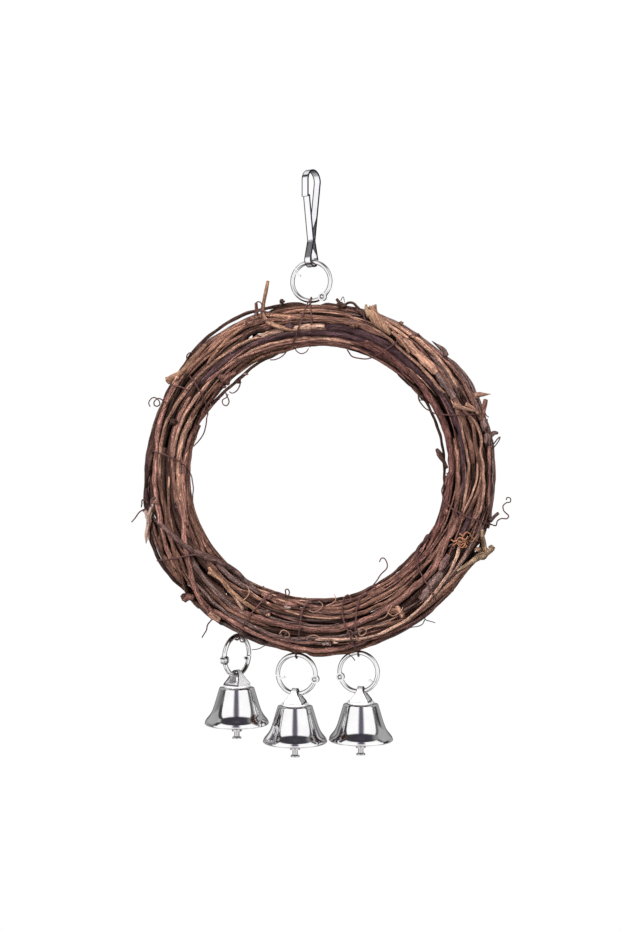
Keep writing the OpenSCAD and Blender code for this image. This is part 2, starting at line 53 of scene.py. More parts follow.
# All random draws come from here, in the order of the script
rng = random.Random(7)

# ---------------------------------------------------------------- the camera
# Millimetres in the wreath's plane to a pixel, and the pixel where the frame's origin is seen
PX = 0.46
ORIGIN_PIXEL = (311.3, 171.5)
# The place looked at, sideways and up, and how far in front of it the camera stands
CENTRE = (-0.37, -135.24)
DISTANCE = 644.0
WIDE, HIGH = 621, 931
cam_data = bpy.data.cameras.new("camera")
cam = bpy.data.objects.new("camera", cam_data)
scene.collection.objects.link(cam)
cam.location = (CENTRE[0] * MM, -DISTANCE * MM, CENTRE[1] * MM)
cam.rotation_euler = (math.pi / 2, 0, 0)
cam_data.sensor_fit = "VERTICAL"
cam_data.angle = 2 * math.atan(HIGH * PX / 2 / DISTANCE)
cam_data.clip_start = 0.01
cam_data.clip_end = 20
scene.camera = cam
scene.render.resolution_x = WIDE
scene.render.resolution_y = HIGH
scene.view_settings.view_transform = "Standard"

# ------------------------------------------------------- places on the wreath
# The opening's centre and radius, the bundle's middling radius, and how far the outside of the
# wreath sits to the right of the opening and below it
AT = np.array([2.6, 0.0, -138.484])
INNER = 58.3
BUNDLE_R, OUT_RIGHT, OUT_LOW = 11.1, 1.2, 2.9


def bundle_r(a):
    """The bundle's radius at an angle round the wreath."""
    t = np.radians(a)
    return BUNDLE_R + (OUT_RIGHT * np.cos(t) - OUT_LOW * np.sin(t)) / 2


def nearness(a, u, a0, u0, wide_a, wide_u):
    """1 at a place (angle, share across the bundle), and less with distance from it."""
    lap = (a - a0 + 180) % 360 - 180
    return np.exp(-(lap / wide_a) ** 2 - ((u - u0) / wide_u) ** 2)


# Stretches where the bark is painted darker, as painted shade in the hollows between the strands, and a few
# painted paler: angle, share across, reach in angle and share, times
PAINTED_SHADE_STRETCHES = [
    (-170, .5, 14, .2, .66), (-130, .5, 16, .18, .7), (-150, .5, 10, .18, .86), (-25, .14, 32, .2, .76), (8,
    .5, 18, .2, .84), (28, .88, 14, .2, .88), (48, .52, 15, .2, .64), (90, .5, 18, .2, .72), (112, .5, 13,
    .18, .68), (130, .66, 16, .3, .84), (97, .1, 38, .18, 1.3), (-95, .9, 16, .2, 1.15), (-28, .88, 26, .2,
    1.15), (154, .5, 12, .2, .84), (70, .88, 12, .22, .88),
]
STRAND_SPREAD = 0.21


def strand_spread_and_painted_shade(places, seeds):
    """How much darker or paler the bark is painted at each place: a random spread by strand, and painted
    shade by stretch.
    """
    off = places - AT
    a = np.degrees(np.arctan2(off[:, 2], off[:, 0]))
    u = (np.hypot(off[:, 0], off[:, 2]) - INNER) / (2 * bundle_r(a))
    times = 1 + STRAND_SPREAD * np.sin(11 * seeds)
    for *stretch, tone in PAINTED_SHADE_STRETCHES:
        times *= 1 + (tone - 1) * nearness(a, u, *stretch)
    return times


def around_wreath(a, out, y):
    """A place at an angle and a distance from the opening's centre, and its depth."""
    t = math.radians(a)
    return AT + np.array([out * math.cos(t), y, out * math.sin(t)])


def on_bundle(a, phi, rise):
    """Place round the wreath, round the bundle (-90 is the front) and over its surface."""
    p = math.radians(phi)
    r = bundle_r(a)
    return around_wreath(a, INNER + r + (r + rise) * math.cos(p), (r + rise) * math.sin(p))


def nearer(y):
    """How much smaller a length at depth y has to be to look like one in the wreath's plane."""
    return (DISTANCE + y) / DISTANCE


# Share of its radius that the bundle keeps in depth at its rims, and the depths that the search
# for a seen place starts from: a share of the radius, and millimetres
RIM, START_SHARE, START_Y = 0.12, 0.8, -9.0


def seen_at(a, u, rise, side=-1):
    """A place seen at angle a and share u across the bundle, lying on its front or back."""
    r = bundle_r(a)
    y = side * r * START_SHARE
    for _ in range(4):
        out = (INNER + 2 * r * u) * nearer(y)
        lift = (r + rise) ** 2 - (out - INNER - r) ** 2
        y = side * math.sqrt(max(lift, (RIM * r) ** 2))
    return around_wreath(a, out, y)


def from_pixel(px, py, rise, loose_y):
    """The place over the front of the bundle that is seen at a pixel, or at loose_y beside it."""
    x0, z0 = (px - ORIGIN_PIXEL[0]) * PX, (ORIGIN_PIXEL[1] - py) * PX
    y = START_Y
    for _ in range(5):
        x = CENTRE[0] + (x0 - CENTRE[0]) * nearer(y)
        z = CENTRE[1] + (z0 - CENTRE[1]) * nearer(y)
        dx, dz = x - AT[0], z - AT[2]
        r = bundle_r(math.degrees(math.atan2(dz, dx)))
        lift = (r + rise) ** 2 - (math.hypot(dx, dz) - INNER - r) ** 2
        y = min(-math.sqrt(lift), loose_y) if lift > 0 else loose_y
    return np.array([x, y, z])


# ------------------------------------------------------------- mesh building
def unit(v):
    return v / np.linalg.norm(v, axis=-1, keepdims=True)


def flat_direction(degrees):
    """The level direction at an angle from x."""
    w = math.radians(degrees)
    return np.array([math.cos(w), math.sin(w), 0])


def turns_of(count):
    """Angles evenly round a circle."""
    return 2 * math.pi * np.arange(count) / count


def smooth_path(points, step):
    """A smooth line through the points, with places about one step apart."""
    p = [np.array(q, float) for q in points]
    if len(p) == 2:
        p = [p[0], (p[0] + p[1]) / 2, p[1]]
    ext = [2 * p[0] - p[1]] + p + [2 * p[-1] - p[-2]]
    out = []
    for a, b, c, d in zip(ext, ext[1:], ext[2:], ext[3:]):
        n = max(1, int(round(np.linalg.norm((c - b)[:3]) / step)))
        for k in range(n):
            t = k / n
            out.append(0.5 * ((2 * b) + (c - a) * t + (2 * a - 5 * b + 4 * c - d) * t ** 2
                              + (3 * b - a - 3 * c + d) * t ** 3))
    out.append(p[-1])
    return out


def skin(rows, sides, start=0, inward=False, closed=False):
    """Faces between rows of points that each close round on themselves."""
    faces = []
    for i in range(rows if closed else rows - 1):
        row, after = start + i * sides, start + (i + 1) % rows * sides
        for k in range(sides):
            m = (k + 1) % sides
            a, b, c, d = row + k, row + m, after + m, after + k
            faces.append((a, d, c, b) if inward else (a, b, c, d))
    return faces


def lathe(profile, centre, axis, across, beside, turns):
    """Points round an axis, from a radius and a place along it for each row."""
    w = turns_of(turns)
    ring = np.outer(np.cos(w), across) + np.outer(np.sin(w), beside)
    return [p for r, h in profile for p in centre + axis * h + r * ring]


def add_piece(name, verts, faces, material, body, nodes, painted_shade=None):
    """An object in the shared frame that rides a body; a darkness given for each point, from 0 to 1, paints
    shade and dark reflections onto metal.
    """
    mesh = bpy.data.meshes.new(name)
    mesh.from_pydata([tuple(c * MM for c in v) for v in verts], [], faces)
    if painted_shade:
        mesh.attributes.new("painted_shade", "FLOAT", "POINT").data.foreach_set("value", painted_shade)
    mesh.shade_smooth()
    mesh.materials.append(material)
    ob = bpy.data.objects.new(name, mesh)
    scene.collection.objects.link(ob)
    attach(ob, body)
    if nodes:
        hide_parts(*nodes)
    return mesh


# Range of the places on the bark's chart where a strand may start, and of its seed
CHART_RUN, CHART_SEED = (0, 400), (0, 60)
# A rough tube's lumps: size, waves round it, waves per mm along it (in radians) and times the seed
LUMPS = ((0.6, 3, 0.21, 1), (0.5, 2, -0.33, 2), (0.4, 5, 0.9, 1))
# A tube's end bulges by this share of its radius
TIP_BULGE = 0.35
# A flake narrows to its ends by a share of its width and has this length on the chart
FLAKE_COLS, FLAKE_THICK, FLAKE_BEND, FLAKE_RAGGED = 7, 0.35, 0.25, 0.25
FLAKE_NARROWS, FLAKE_CHART = 0.35, 20
KNOB_RINGS, KNOB_SIDES, KNOB_LUMPS = 8, 12, 0.24


class Strands:
    """Collects tubes, scraps and knobs, and makes them one piece with a tone and a bark chart."""

    def __init__(self):
        self.verts, self.faces, self.tones, self.chart = [], [], [], []

    def add(self, points, tone, chart):
        self.verts += [tuple(p) for p in points]
        self.tones += [tone] * len(points)
        self.chart += chart

    def begin(self, path):
        """What every strand starts with: its path, its directions and its place on the chart."""
        path = np.array(path, float)
        tang = unit(np.gradient(path, axis=0))
        return path, tang, rng.uniform(*CHART_RUN), rng.uniform(*CHART_SEED), len(self.verts)

    def tube(self, path, radii, tone, sides=10, rough=0.0):
        """A closed tube along a path, with lumps where it is rough."""
        path, tang, run, seed, start = self.begin(path)
        n = len(path)
        radii = np.broadcast_to(radii, n)
        along = np.append(0, np.cumsum(np.linalg.norm(np.diff(path, axis=0), axis=1)))
        side = np.eye(3)[0 if abs(tang[0][1]) > 0.9 else 1]
        w = turns_of(sides)
        for place, ahead, s, r in zip(path, tang, along, radii):
            side = unit(side - (side @ ahead) * ahead)
            ring = np.outer(np.cos(w), side) + np.outer(np.sin(w), np.cross(ahead, side))
            lumps = sum(size * np.sin(turns * w + rate * s + times * seed)
                        for size, turns, rate, times in LUMPS)
            points = place + (r * (1 + rough * lumps))[:, None] * ring
            self.add(points, tone, [(run + s, v * max(r, 0.2), seed) for v in w])
        self.faces += skin(n, sides, start)
        for end, sign in ((0, -1), (n - 1, 1)):
            tip = path[end] + sign * tang[end] * radii[end] * TIP_BULGE
            self.add([tip], tone, [(run + along[end], 0.0, seed)])
            c = len(self.verts) - 1
            for k in range(sides):
                a, b = start + end * sides + k, start + end * sides + (k + 1) % sides
                self.faces.append((b, a, c) if end == 0 else (a, b, c))

    def flake(self, path, width, tone):
        """A thin curved scrap of bark along a path, facing the front."""
        path, tang, run, seed, start = self.begin(path)
        n, cols = len(path), FLAKE_COLS
        s = np.linspace(-1, 1, cols)
        for place, ahead, share in zip(path, tang, np.linspace(0, 1, n)):
            out = unit(np.array([0, -1.0, 0]) + ahead[1] * ahead)
            w = width * (1 - FLAKE_NARROWS * abs(2 * share - 1) ** 3)
            w *= 1 + FLAKE_RAGGED / 2 * math.sin(9 * share + seed)
            edge = 1 + FLAKE_RAGGED * 0.4 * np.sin(23 * share + 5 * s + seed)
            for layer in (0, 1):
                lift = -FLAKE_BEND * w * s * s - layer * FLAKE_THICK
                points = place + np.outer(s * w / 2 * edge, np.cross(ahead, out)) + np.outer(lift, out)
                self.add(points, tone, [(run + share * FLAKE_CHART, v * w / 2, seed) for v in s])
        row = 2 * cols
        ring = list(range(cols)) + list(range(row - 1, cols - 1, -1))
        for i in range(start, start + (n - 1) * row, row):
            for a, b in zip(ring, ring[1:] + ring[:1]):
                self.faces.append((i + a, i + b, i + b + row, i + a + row))
        for i in (start, start + (n - 1) * row):
            for a in range(i, i + cols - 1):
                quad = (a, a + cols, a + cols + 1, a + 1)
                self.faces.append(quad if i == start else quad[::-1])

    def knob(self, centre, radius, tone, squash):
        """A lumpy bud or knot."""
        run, seed, start = rng.uniform(*CHART_RUN), rng.uniform(*CHART_SEED), len(self.verts)
        w = turns_of(KNOB_SIDES)
        for t in np.linspace(0, math.pi, KNOB_RINGS + 1):
            lumps = np.sin(3 * w + 4 * t + seed) + 0.7 * np.sin(5 * t - 2 * w + seed)
            ring = np.array([math.sin(t) * np.cos(w), math.sin(t) * np.sin(w), math.cos(t) + 0 * w])
            points = centre + (radius * (1 + KNOB_LUMPS * lumps) * ring).T * squash
            self.add(points, tone, [(run + t * radius, v * radius, seed) for v in w])
        self.faces += skin(KNOB_RINGS + 1, KNOB_SIDES, start, inward=True)

    def build(self, name, slot, nodes=()):
        mesh = add_piece(name, self.verts, self.faces, MATERIALS[slot], "wreath", nodes)
        colours = np.array([(*TONES[t], 1.0) for t in self.tones])
        if slot == "bark":
            # The bark's tone gets its random spread by strand and its painted shade by stretch
            colours[:, :3] *= strand_spread_and_painted_shade(np.array(self.verts), np.array(self.chart)[:, 2])[:, None]
        mesh.attributes.new("tone", "FLOAT_COLOR", "POINT").data.foreach_set("color", colours.ravel())
        chart = mesh.attributes.new("chart", "FLOAT_VECTOR", "POINT")
        chart.data.foreach_set("vector", [c for t in self.chart for c in t])


# Linear colours of bark, wood and wire
TONES = {
    "x": (0.017, 0.010, 0.008),  # deep in the bundle: near black, painted shade
    "d": (0.044, 0.024, 0.019),  # dark old vine
    "p": (0.062, 0.034, 0.037),  # purple vine
    "s": (0.071, 0.033, 0.031),  # wire and thin tendrils
    "v": (0.105, 0.062, 0.056),  # grey purple
    "g": (0.113, 0.072, 0.064),  # grey bark
    "r": (0.126, 0.057, 0.049),  # red bark
    "b": (0.139, 0.072, 0.052),  # brown bark
    "k": (0.178, 0.090, 0.072),  # red brown, lit
    "o": (0.190, 0.101, 0.068),  # orange brown
    "y": (0.200, 0.113, 0.074),  # yellow brown
    "u": (0.225, 0.152, 0.100),  # olive wood
    "a": (0.250, 0.112, 0.062),  # orange fibre
    "t": (0.278, 0.157, 0.113),  # tan
    "q": (0.300, 0.225, 0.190),  # bleached bark
    "w": (0.357, 0.222, 0.165),  # bare wood
}


# ------------------------------------------------------------------ materials
def add_node(tree, kind, inputs=None, **settings):
    """A node with its settings; each input is a value or a link from another node's output."""
    node = tree.nodes.new(kind)
    for key, value in settings.items():
        setattr(node, key, value)
    set_inputs(tree, node, inputs or {})
    return node


def set_inputs(tree, node, inputs):
    for key, value in inputs.items():
        if isinstance(value, bpy.types.NodeSocket):
            tree.links.new(value, node.inputs[key])
        else:
            node.inputs[key].default_value = value


def add_ramp(tree, fac, stops):
    """A colour ramp from stops: place from 0 to 1 and colour."""
    node = add_node(tree, "ShaderNodeValToRGB", {"Fac": fac})
    els = node.color_ramp.elements
    while len(els) < len(stops):
        els.new(0.5)
    for el, (place, colour) in zip(els, stops):
        el.position = place
        el.color = (*colour, 1)
    return node.outputs["Color"]


def noise(tree, vector, scale, detail, roughness, stretch=None):
    """Noise over a vector, which may be stretched first."""
    if stretch:
        vector = add_node(tree, "ShaderNodeMapping", {"Vector": vector, "Scale": stretch}).outputs["Vector"]
    sockets = {"Vector": vector, "Scale": scale, "Detail": detail, "Roughness": roughness}
    return add_node(tree, "ShaderNodeTexNoise", sockets).outputs["Fac"]


def new_material(name):
    mat = bpy.data.materials.new(name)
    mat.use_nodes = True
    return mat, mat.node_tree, mat.node_tree.nodes["Principled BSDF"]


# Bark: noise over the chart (stretch, detail, roughness) and the factors that it gives the tone,
# for long fibres, blotches and specks
BARK_LAYERS = [
    ((0.14, 1.75, 1.0), 6.0, 0.65, [(0.31, (0.13, 0.12, 0.12)), (0.42, (0.53, 0.51, 0.52)),
                                    (0.53, (1.02, 1.01, 1.02)), (0.62, (1.6, 1.62, 1.66)),
                                    (0.73, (2.5, 2.54, 2.64))]),
    ((0.07, 0.35, 1.0), 3.0, 0.6, [(0.3, (0.62, 0.58, 0.6)), (0.5, (1.0, 1.0, 1.0)),
                                   (0.7, (1.42, 1.36, 1.28))]),
    ((1.1, 1.9, 1.0), 4.0, 0.7, [(0.35, (0.30, 0.28, 0.28)), (0.46, (0.96, 0.96, 0.96)),
                                 (0.57, (1.08, 1.08, 1.08)), (0.67, (2.3, 2.33, 2.36))]),
]
BARK_BUMP, BARK_DEPTH = 0.75, 0.0006


def bark_material(name, contrast=1.0, roughness=0.82, gloss=0.08):
    mat, tree, bsdf = new_material(name)
    colour = add_node(tree, "ShaderNodeAttribute", attribute_name="tone").outputs["Color"]
    chart = add_node(tree, "ShaderNodeAttribute", attribute_name="chart").outputs["Vector"]
    grains = []
    for stretch, detail, rough, factors in BARK_LAYERS:
        grains.append(noise(tree, chart, 1.0, detail, rough, stretch))
        sockets = {0: contrast, 6: colour, 7: add_ramp(tree, grains[-1], factors)}
        mix = add_node(tree, "ShaderNodeMix", sockets, data_type="RGBA", blend_type="MULTIPLY")
        colour = mix.outputs[2]
    height = add_node(tree, "ShaderNodeMath", {0: grains[0], 1: grains[2]}, operation="ADD").outputs[0]
    bump = add_node(tree, "ShaderNodeBump",
                    {"Strength": BARK_BUMP, "Distance": BARK_DEPTH, "Height": height})
    set_inputs(tree, bsdf, {"Base Color": colour, "Roughness": roughness, "Specular IOR Level": gloss,
                            "Normal": bump.outputs["Normal"]})
    return mat


# Metal: polishing lines (scale, detail, roughness), clouds, where these turn from dark to clean and how
# much darker they are, times the roughness in and beside the lines, and the dark colour painted on as shade
# and dark reflections
FINE, CLOUD, CLOUD_TINT = (1.0, 4.0, 0.6), (160.0, 3.0, 0.55), 0.08
CLOUD_DARK, CLOUD_CLEAN, SMOOTHER, ROUGHER = 0.35, 0.65, 0.7, 1.4
GRAIN_STRETCH, GRAIN_DEPTH = (900, 900, 60), 0.0004
SHADE_PAINT = (0.045, 0.042, 0.046, 1)


def metal_material(name, colour, roughness, grain, dents=0.0, metal=1.0):
    mat, tree, bsdf = new_material(name)
    place = add_node(tree, "ShaderNodeTexCoord").outputs["Object"]
    fine = noise(tree, place, *FINE, GRAIN_STRETCH)
    cloud = noise(tree, place, *CLOUD)
    dark = tuple(c * (1 - CLOUD_TINT) for c in colour)
    clean = add_ramp(tree, cloud, [(CLOUD_DARK, dark), (CLOUD_CLEAN, colour)])
    # Where the mesh asks for it, the colour is painted dark as shade and dark reflections
    painted_shade = add_node(tree, "ShaderNodeAttribute", attribute_name="painted_shade").outputs["Fac"]
    dark_painted = add_node(tree, "ShaderNodeMix", {0: painted_shade, 6: clean, 7: SHADE_PAINT}, data_type="RGBA").outputs[2]
    rough = add_node(tree, "ShaderNodeMapRange",
                     {"Value": fine, "To Min": roughness * SMOOTHER,
                      "To Max": roughness * ROUGHER}).outputs["Result"]
    height = add_node(tree, "ShaderNodeMath", {0: cloud, 1: dents, 2: fine}, operation="MULTIPLY_ADD")
    bump = add_node(tree, "ShaderNodeBump",
                    {"Strength": grain, "Distance": GRAIN_DEPTH, "Height": height.outputs[0]})
    set_inputs(tree, bsdf, {"Base Color": dark_painted, "Metallic": metal, "Roughness": rough,
                            "Normal": bump.outputs["Normal"]})
    return mat


MATERIALS = {
    "bark": bark_material("bark"),
    "dark_bark": bark_material("dark_bark", roughness=0.95, gloss=0.05),
    "broken_wood": bark_material("broken_wood", contrast=0.85),
    "tendril": bark_material("tendril", contrast=0.6, roughness=0.6, gloss=0.2),
    "binding_wire": bark_material("binding_wire", contrast=0.5, roughness=0.5, gloss=0.25),
}

# --------------------------------------------------------- strands of the wreath
# Each strand: tone, thickness in mm, height of its top over the bundle in mm, which ends are
# broken off in view ("s" start, "e" end), and runs: first angle round the wreath, step to the
# next, and the share across the bundle at each (0 the inner rim, 1 the outer)
FRONT = [
    ("k", 1.3, .55, "", (144, -10, .44, .33), (123.5, -10.5, .257, .19), (101, -17, .145, .17)),
    ("d", 1.3, -1, "", (-60, 4, .06, .025), (-50, 6, -.005, -.01), (-38, 5, -.005, .02, .06)),
    ("t", 1.4, .55, "", (72, -4, .7, .646), (61, -6.3, .565, .497), (46, -10, .46, .466), (32, -3.1, .51,
     .577)),
    ("g", 1.8, 0, "", (-168, 6, .95, .985, 1.01, 1.01, .985, .95)),
    ("b", 1.5, -.2, "", (-166, 6, .9, .94, .955, .95, .93, .9)),
    ("g", 1.3, .1, "", (152, -6, .97, 1, 1.035), (134, -5, 1.06, 1.055), (124, -6, 1.02, 1.01, 1.01, .99)),
    ("d", 1.6, .3, "", (196, -6, 1, 1.02, .98), (179, -6, .905, .86), (168, -6, .87, .93), (157, -7, .965,
     1, 1.03, 1.09, 1.13, 1.15, 1.14, 1.09, 1.06), (94, -8, 1.02, .99)),
    ("k", 2.4, .2, "", (219, -6, .83, .86, .84, .8, .77, .755, .775, .77, .79, .85, .885), (152, -6, .925,
     .92), (138, -7, .9, .9)),
    ("o", 2.1, .55, "", (152, -6, .94, .985, 1, .995, .98, .97, .965), (111, -4, .95, .9, .82, .74, .67,
     .6)),
    ("b", 2.2, .4, "", (146, -6, .86, .87, .85, .865, .9), (116, -5, .89, .85), (106, -4, .76, .68, .6)),
    ("o", 1.9, .2, "", (138, -5, .6, .68, .76, .82), (117, -5, .85, .82, .72)),
    ("t", 1.6, .25, "", (186, -6, .68, .675, .7, .715, .72, .69, .655, .62, .595, .575, .55, .53), (114, -5,
     .505, .48)),
    ("w", 2.3, .45, "e", (116, -4, .5, .49), (108, -4.6, .475, .465)),
    ("p", 2.6, .25, "", (146, -6, .47, .465, .44, .425, .41, .405, .385, .365, .345, .325, .31, .325, .31,
     .285, .26)),
    ("r", 3.4, .3, "", (76, -6, .3, .285, .265, .25), (50, -6, .225, .21), (38, -8, .205, .2, .195), (14,
     -6, .185, .175, .165, .15, .12, .115), (-22, -7, .13, .155), (-36, -8, .175, .165, .135, .105)),
    ("t", 1.6, .3, "", (178, -6, .38, .405, .42, .415, .395, .365, .34, .325, .31, .285, .27, .25, .225, .2,
     .185, .18, .18, .172, .14)),
    ("t", 3, .05, "", (202, -6, .235, .26, .27, .275, .28, .28, .275, .255, .235, .21)),
    ("b", 2.6, 0, "", (162, -6, .25, .24, .22, .19), (138, -5, .15, .1)),
    ("k", 1.7, .2, "", (176, -5, .145, .135, .12, .08, .03), (150, -6, -.02, -.06)),
    ("d", 1.5, 0, "", (153, -6, 0, -.045, -.085, -.11, -.115, -.09, -.055), (110, -7, -.03, 0)),
    ("k", 1.5, 0, "", (194, -6, .06, .045, .035, .03, .025, 0, -.01)),
    ("o", 1.7, .25, "", (134, -5, 0, .025), (123, -6, .05, .045), (111, -5, .02, -.01), (100, -5, 0, .02)),
    ("b", 1.7, .1, "", (136, -6, .1, .115, .13, .135, .13, .11, .09, .075, .095)),
    ("k", 1.6, .2, "", (138, 0, .2), (131, -6, .21, .22), (118, -6, .205, .19, .165, .145, .13, .12, .125,
     .105, .07)),
    ("k", 1.5, .15, "", (106, -6, .05, .055, .04, .045, .075, .09), (70, -8, .07, .045, .045, .035)),
    ("b", 1.4, 0, "", (104, -6, 0, .015, .02, .045), (80, -5, .05, .03)),
    ("d", 1.7, .1, "", (106, -6, 1, 1, .98, .985, .975, .95)),
    ("b", 1.9, .35, "", (108, -6, .94, .93, .925, .92), (85, -4, .925, .89, .84)),
    ("b", 1.8, .3, "", (104, -6, .85, .86, .85, .825, .78), (75, -5, .71, .65)),
    ("b", 3.2, .3, "", (106, -6, .74, .715, .69, .645, .62, .625, .605, .55)),
    ("w", 2.6, .5, "se", (101, -4, .47, .465), (92, -4.8, .46, .45)),
    ("p", 3.6, .25, "", (91, -5, .4, .44, .46), (76, -6, .465, .455, .43, .395, .37, .365, .385)),
    ("p", 2.4, .2, "", (46, -6, .37, .385, .41, .43, .44, .44, .425, .405, .4), (-8, -5, .4, .41)),
    ("g", 1.9, .4, "", (72, -6, .97, .975, .965, .96, .965, 1, 1.06, 1.07, 1.04, 1.01, 1.01, 1, .97, .96,
     .975, 1.02)),
    ("t", 2, .5, "", (74, -6, .94, .92, .91, .9, .885, .86, .83), (32, -5, .8, .77)),
    ("k", 1.9, .35, "", (54, -6, .93, .93, .94, .95, .94, .92, .93, .94, .92, .885, .875), (-11, -5, .905,
     .95)),
    ("g", 1.7, .3, "", (42, -6, .99, 1, 1, .97, .965, .975)),
    ("g", 2, .15, "", (48, -6, .8, .79, .78), (31, -4, .74, .7)),
    ("b", 2.5, .15, "", (46, -6, .71, .7), (35, -5, .68, .63), (25, -6, .585, .56, .575), (7, -5, .6, .58)),
    ("t", 1.3, .7, "", (29, -4, .6, .66), (22, -4, .71, .79, .83, .8), (7, 0, .757), (3, -5, .785, .785,
     .79), (-12, -3, .785, .75, .69, .675)),
    ("b", 1.7, .4, "", (22, -6, .7, .735), (10, -5, .69, .695), (-1, -5, .73, .69), (-11, -4, .62, .55),
     (-18, -4, .49, .43)),
    ("t", 1, .6, "", (6, -6, .67, .66), (-5, -5, .62, .55), (-15, -4, .48, .43)),
    ("b", 2.7, .2, "", (0, -5, .72, .735, .73), (-15, -4, .7, .66, .6)),
    ("t", 1.2, .5, "", (30, -6, .56, .53, .505, .49, .49, .485, .465), (-12, -5, .45, .44)),
    ("p", 2.4, .2, "", (-10, -4, .6, .61, .6, .58, .57, .56)),
    ("k", 2.9, .45, "", (-13, -4, .455, .425, .405), (-25, -5, .385, .385, .41), (-40, -6, .445, .44, .44,
     .46, .48, .51), (-75, -6, .535, .552, .56), (-92, -6, .558, .535, .54, .565, .59), (-122, -5, .6,
     .59)),
    ("g", 2.3, .05, "", (-112, -6, .585, .605, .6, .575, .55, .53, .5)),
    ("b", 2.3, .2, "", (14, -6, .3, .292, .29, .292, .302, .318, .345, .37)),
    ("d", 1.3, .1, "", (50, 0, .04), (42, -7, .058, .065), (28, -8, .055, .045, .025, .02), (-2, -6, .015,
     .03, .06, .085)),
    ("t", 2.2, .6, "s", (-25, -3, 1.06, 1.01, .94, .89), (-38, -5, .85, .83), (-48, -6, .825, .8)),
    ("g", 2.3, .3, "", (-15, -4, .92, .88), (-23, -5, .845, .81, .785, .77, .775)),
    ("b", 1.7, .15, "", (-28, -5, 1.03, .96, .925, .88, .85), (-54, -6, .845, .87, .905, .95, 1, 1.01,
     1.015, 1, .97, .96)),
    ("w", 1.5, .75, "", (-22, -4, .56, .61, .66), (-34, -6, .695, .735, .765, .79, .825, .84, .835, .8,
     .765, .735, .715)),
    ("b", 1.9, .3, "", (-24, -5, .32, .31, .3), (-40, -6, .275, .25, .24, .235, .235, .26, .275, .265, .235,
     .21)),
    ("b", 2, .1, "", (-56, -6, .12, .135, .165, .185, .2, .185, .16)),
    ("k", 1.5, .3, "", (-30, -6, .1, .065), (-42, -8, .05, .05), (-58, -6, .055, .06, .08, .11, .14, .145,
     .115, .09, .07, .07)),
    ("d", 1.5, 0, "", (-26, -5, .05, .02, .005), (-42, -8, .02, 0, .01, 0, .03, .03, .035, .03), (-106, -7,
     .035, .06)),
    ("b", 1.9, .1, "", (-48, -6, .33, .345, .36, .36, .38, .365, .345, .31, .27, .265, .265), (-114, -5,
     .235, .22), (-124, -6, .265, .3, .285, .25, .205, .175, .16, .15)),
    ("b", 1.6, .25, "", (-58, -5, .79, .75, .7, .65, .62)),
    ("g", 1.5, .1, "", (-62, -6, .72, .68, .69, .7, .7, .72, .75, .765, .755, .74, .75, .757, .74, .71)),
    ("k", 2.3, .45, "", (-72, -6, .87, .9, .925, .93, .915, .88, .855, .845, .84), (-126, -5, .87, .92)),
    ("k", 1.6, .35, "", (-86, -5, .78, .785, .805, .81), (-106, -6, .79, .78)),
    ("k", 2.8, .2, "", (-96, 0, .13), (-101, -6, .15, .15), (-113, -5, .125, .115)),
    ("g", 2.8, .4, "", (-112, -5, .15, .125, .075, .045, .045, .08)),
    ("g", 2.4, .2, "", (-114, -5, .12, .14), (-124, -6, .17, .175, .17, .15)),
    ("y", 1.9, .35, "s", (-108.6, -4.4, .42, .445), (-118, -4, .435, .41), (-127, -5, .365, .335, .345,
     .36)),
    ("w", 1.3, .55, "s", (-118.4, -2.6, .55, .49), (-124, -3, .44, .42)),
    ("y", 1.4, .4, "e", (-129, -3, .31, .35), (-135, -2.5, .38, .41)),
    ("g", 2.1, .35, "", (-102, -6, .95, .97, .96, .96, .985), (-131, -5, .995, .98)),
    ("b", 1.6, .2, "", (-106, -6, .65, .66, .675, .685, .665, .64)),
    ("k", 2.4, .65, "", (-122, -5, 1, .975, .9, .79, .68), (-148, -5, .55, .45, .34), (-162, -5, .27, .21),
     (-173, -7, .175, .155), (-187, -6, .14, .1)),
    ("b", 2.2, .5, "", (-131, -4, 1.02, 1), (-139, -5, .95, .87, .77, .69), (-159, -6, .635, .62, .63, .655,
     .69)),
    ("b", 2.2, .1, "", (-138, -6, .13, .14, .125, .12, .12, .11, .08, .05)),
    ("b", 1.8, .1, "", (-143, -6, .3, .28, .25, .26), (-167, -7, .28, .275)),
    ("d", 2, .2, "", (-135, 0, .96), (-141, -5, 1.01, 1.05, 1.085, 1.09, 1.05, 1)),
    ("b", 2, .25, "", (-138, -6, .9, .96, .97), (-156, -4, .93, .88)),
    ("b", 1.6, .15, "", (-141, -6, .75, .72, .705, .69, .66)),
    ("t", 1.1, .35, "", (-154, -6, .61, .58), (-165, -6, .555, .515), (-176, -6, .48, .45)),
    ("k", 1.9, .3, "", (-150, -6, .36, .32, .32, .335, .36, .39, .42), (-191, -6, .46, .49, .5, .49, .47)),
]
CROSSING = [(-120, -5, .1, .035, .025), (-134, -5, .065, .16, .29), (-148, -4, .42, .52, .62, .74),
            (-163, -2, .85, .93)]

# Slits that show the light behind: angle from and to, share across from and to
SLITS = [
    (-1, 34, -.3, .118), (112, 118, 1.045, 1.5), (118.6, 127, 1.035, 1.5), (101, 108, .975, 1.5), (129, 140,
    -.3, -.02), (114.5, 117.5, .56, .6), (110.5, 113, .55, .585), (104, 108, .57, .6), (-34, -30, .07, .1),
    (-54, -36, -.3, .072), (-139, -136, .87, .9), (-127, -125, .46, .485), (-138.2, -136.8, .44, .475),
    (-142, -141, .415, .435), (-166, -162, .85, .875), (-142, -138, .468, .486), (-27, -23, .93, .96), (-33,
    -32, .825, .85), (-42.5, -38.5, .893, .91), (-66, -60.5, .225, .24), (-85, -83.5, .83, .845), (42, 50,
    .14, .165),
]

# Degrees that strands keep clear beyond a slit's ends, and the shares across past which a slit is
# open to the outer or the inner rim
SLIT_MARGIN, OPEN_OUTER, OPEN_INNER = 0.4, 1.2, -0.2

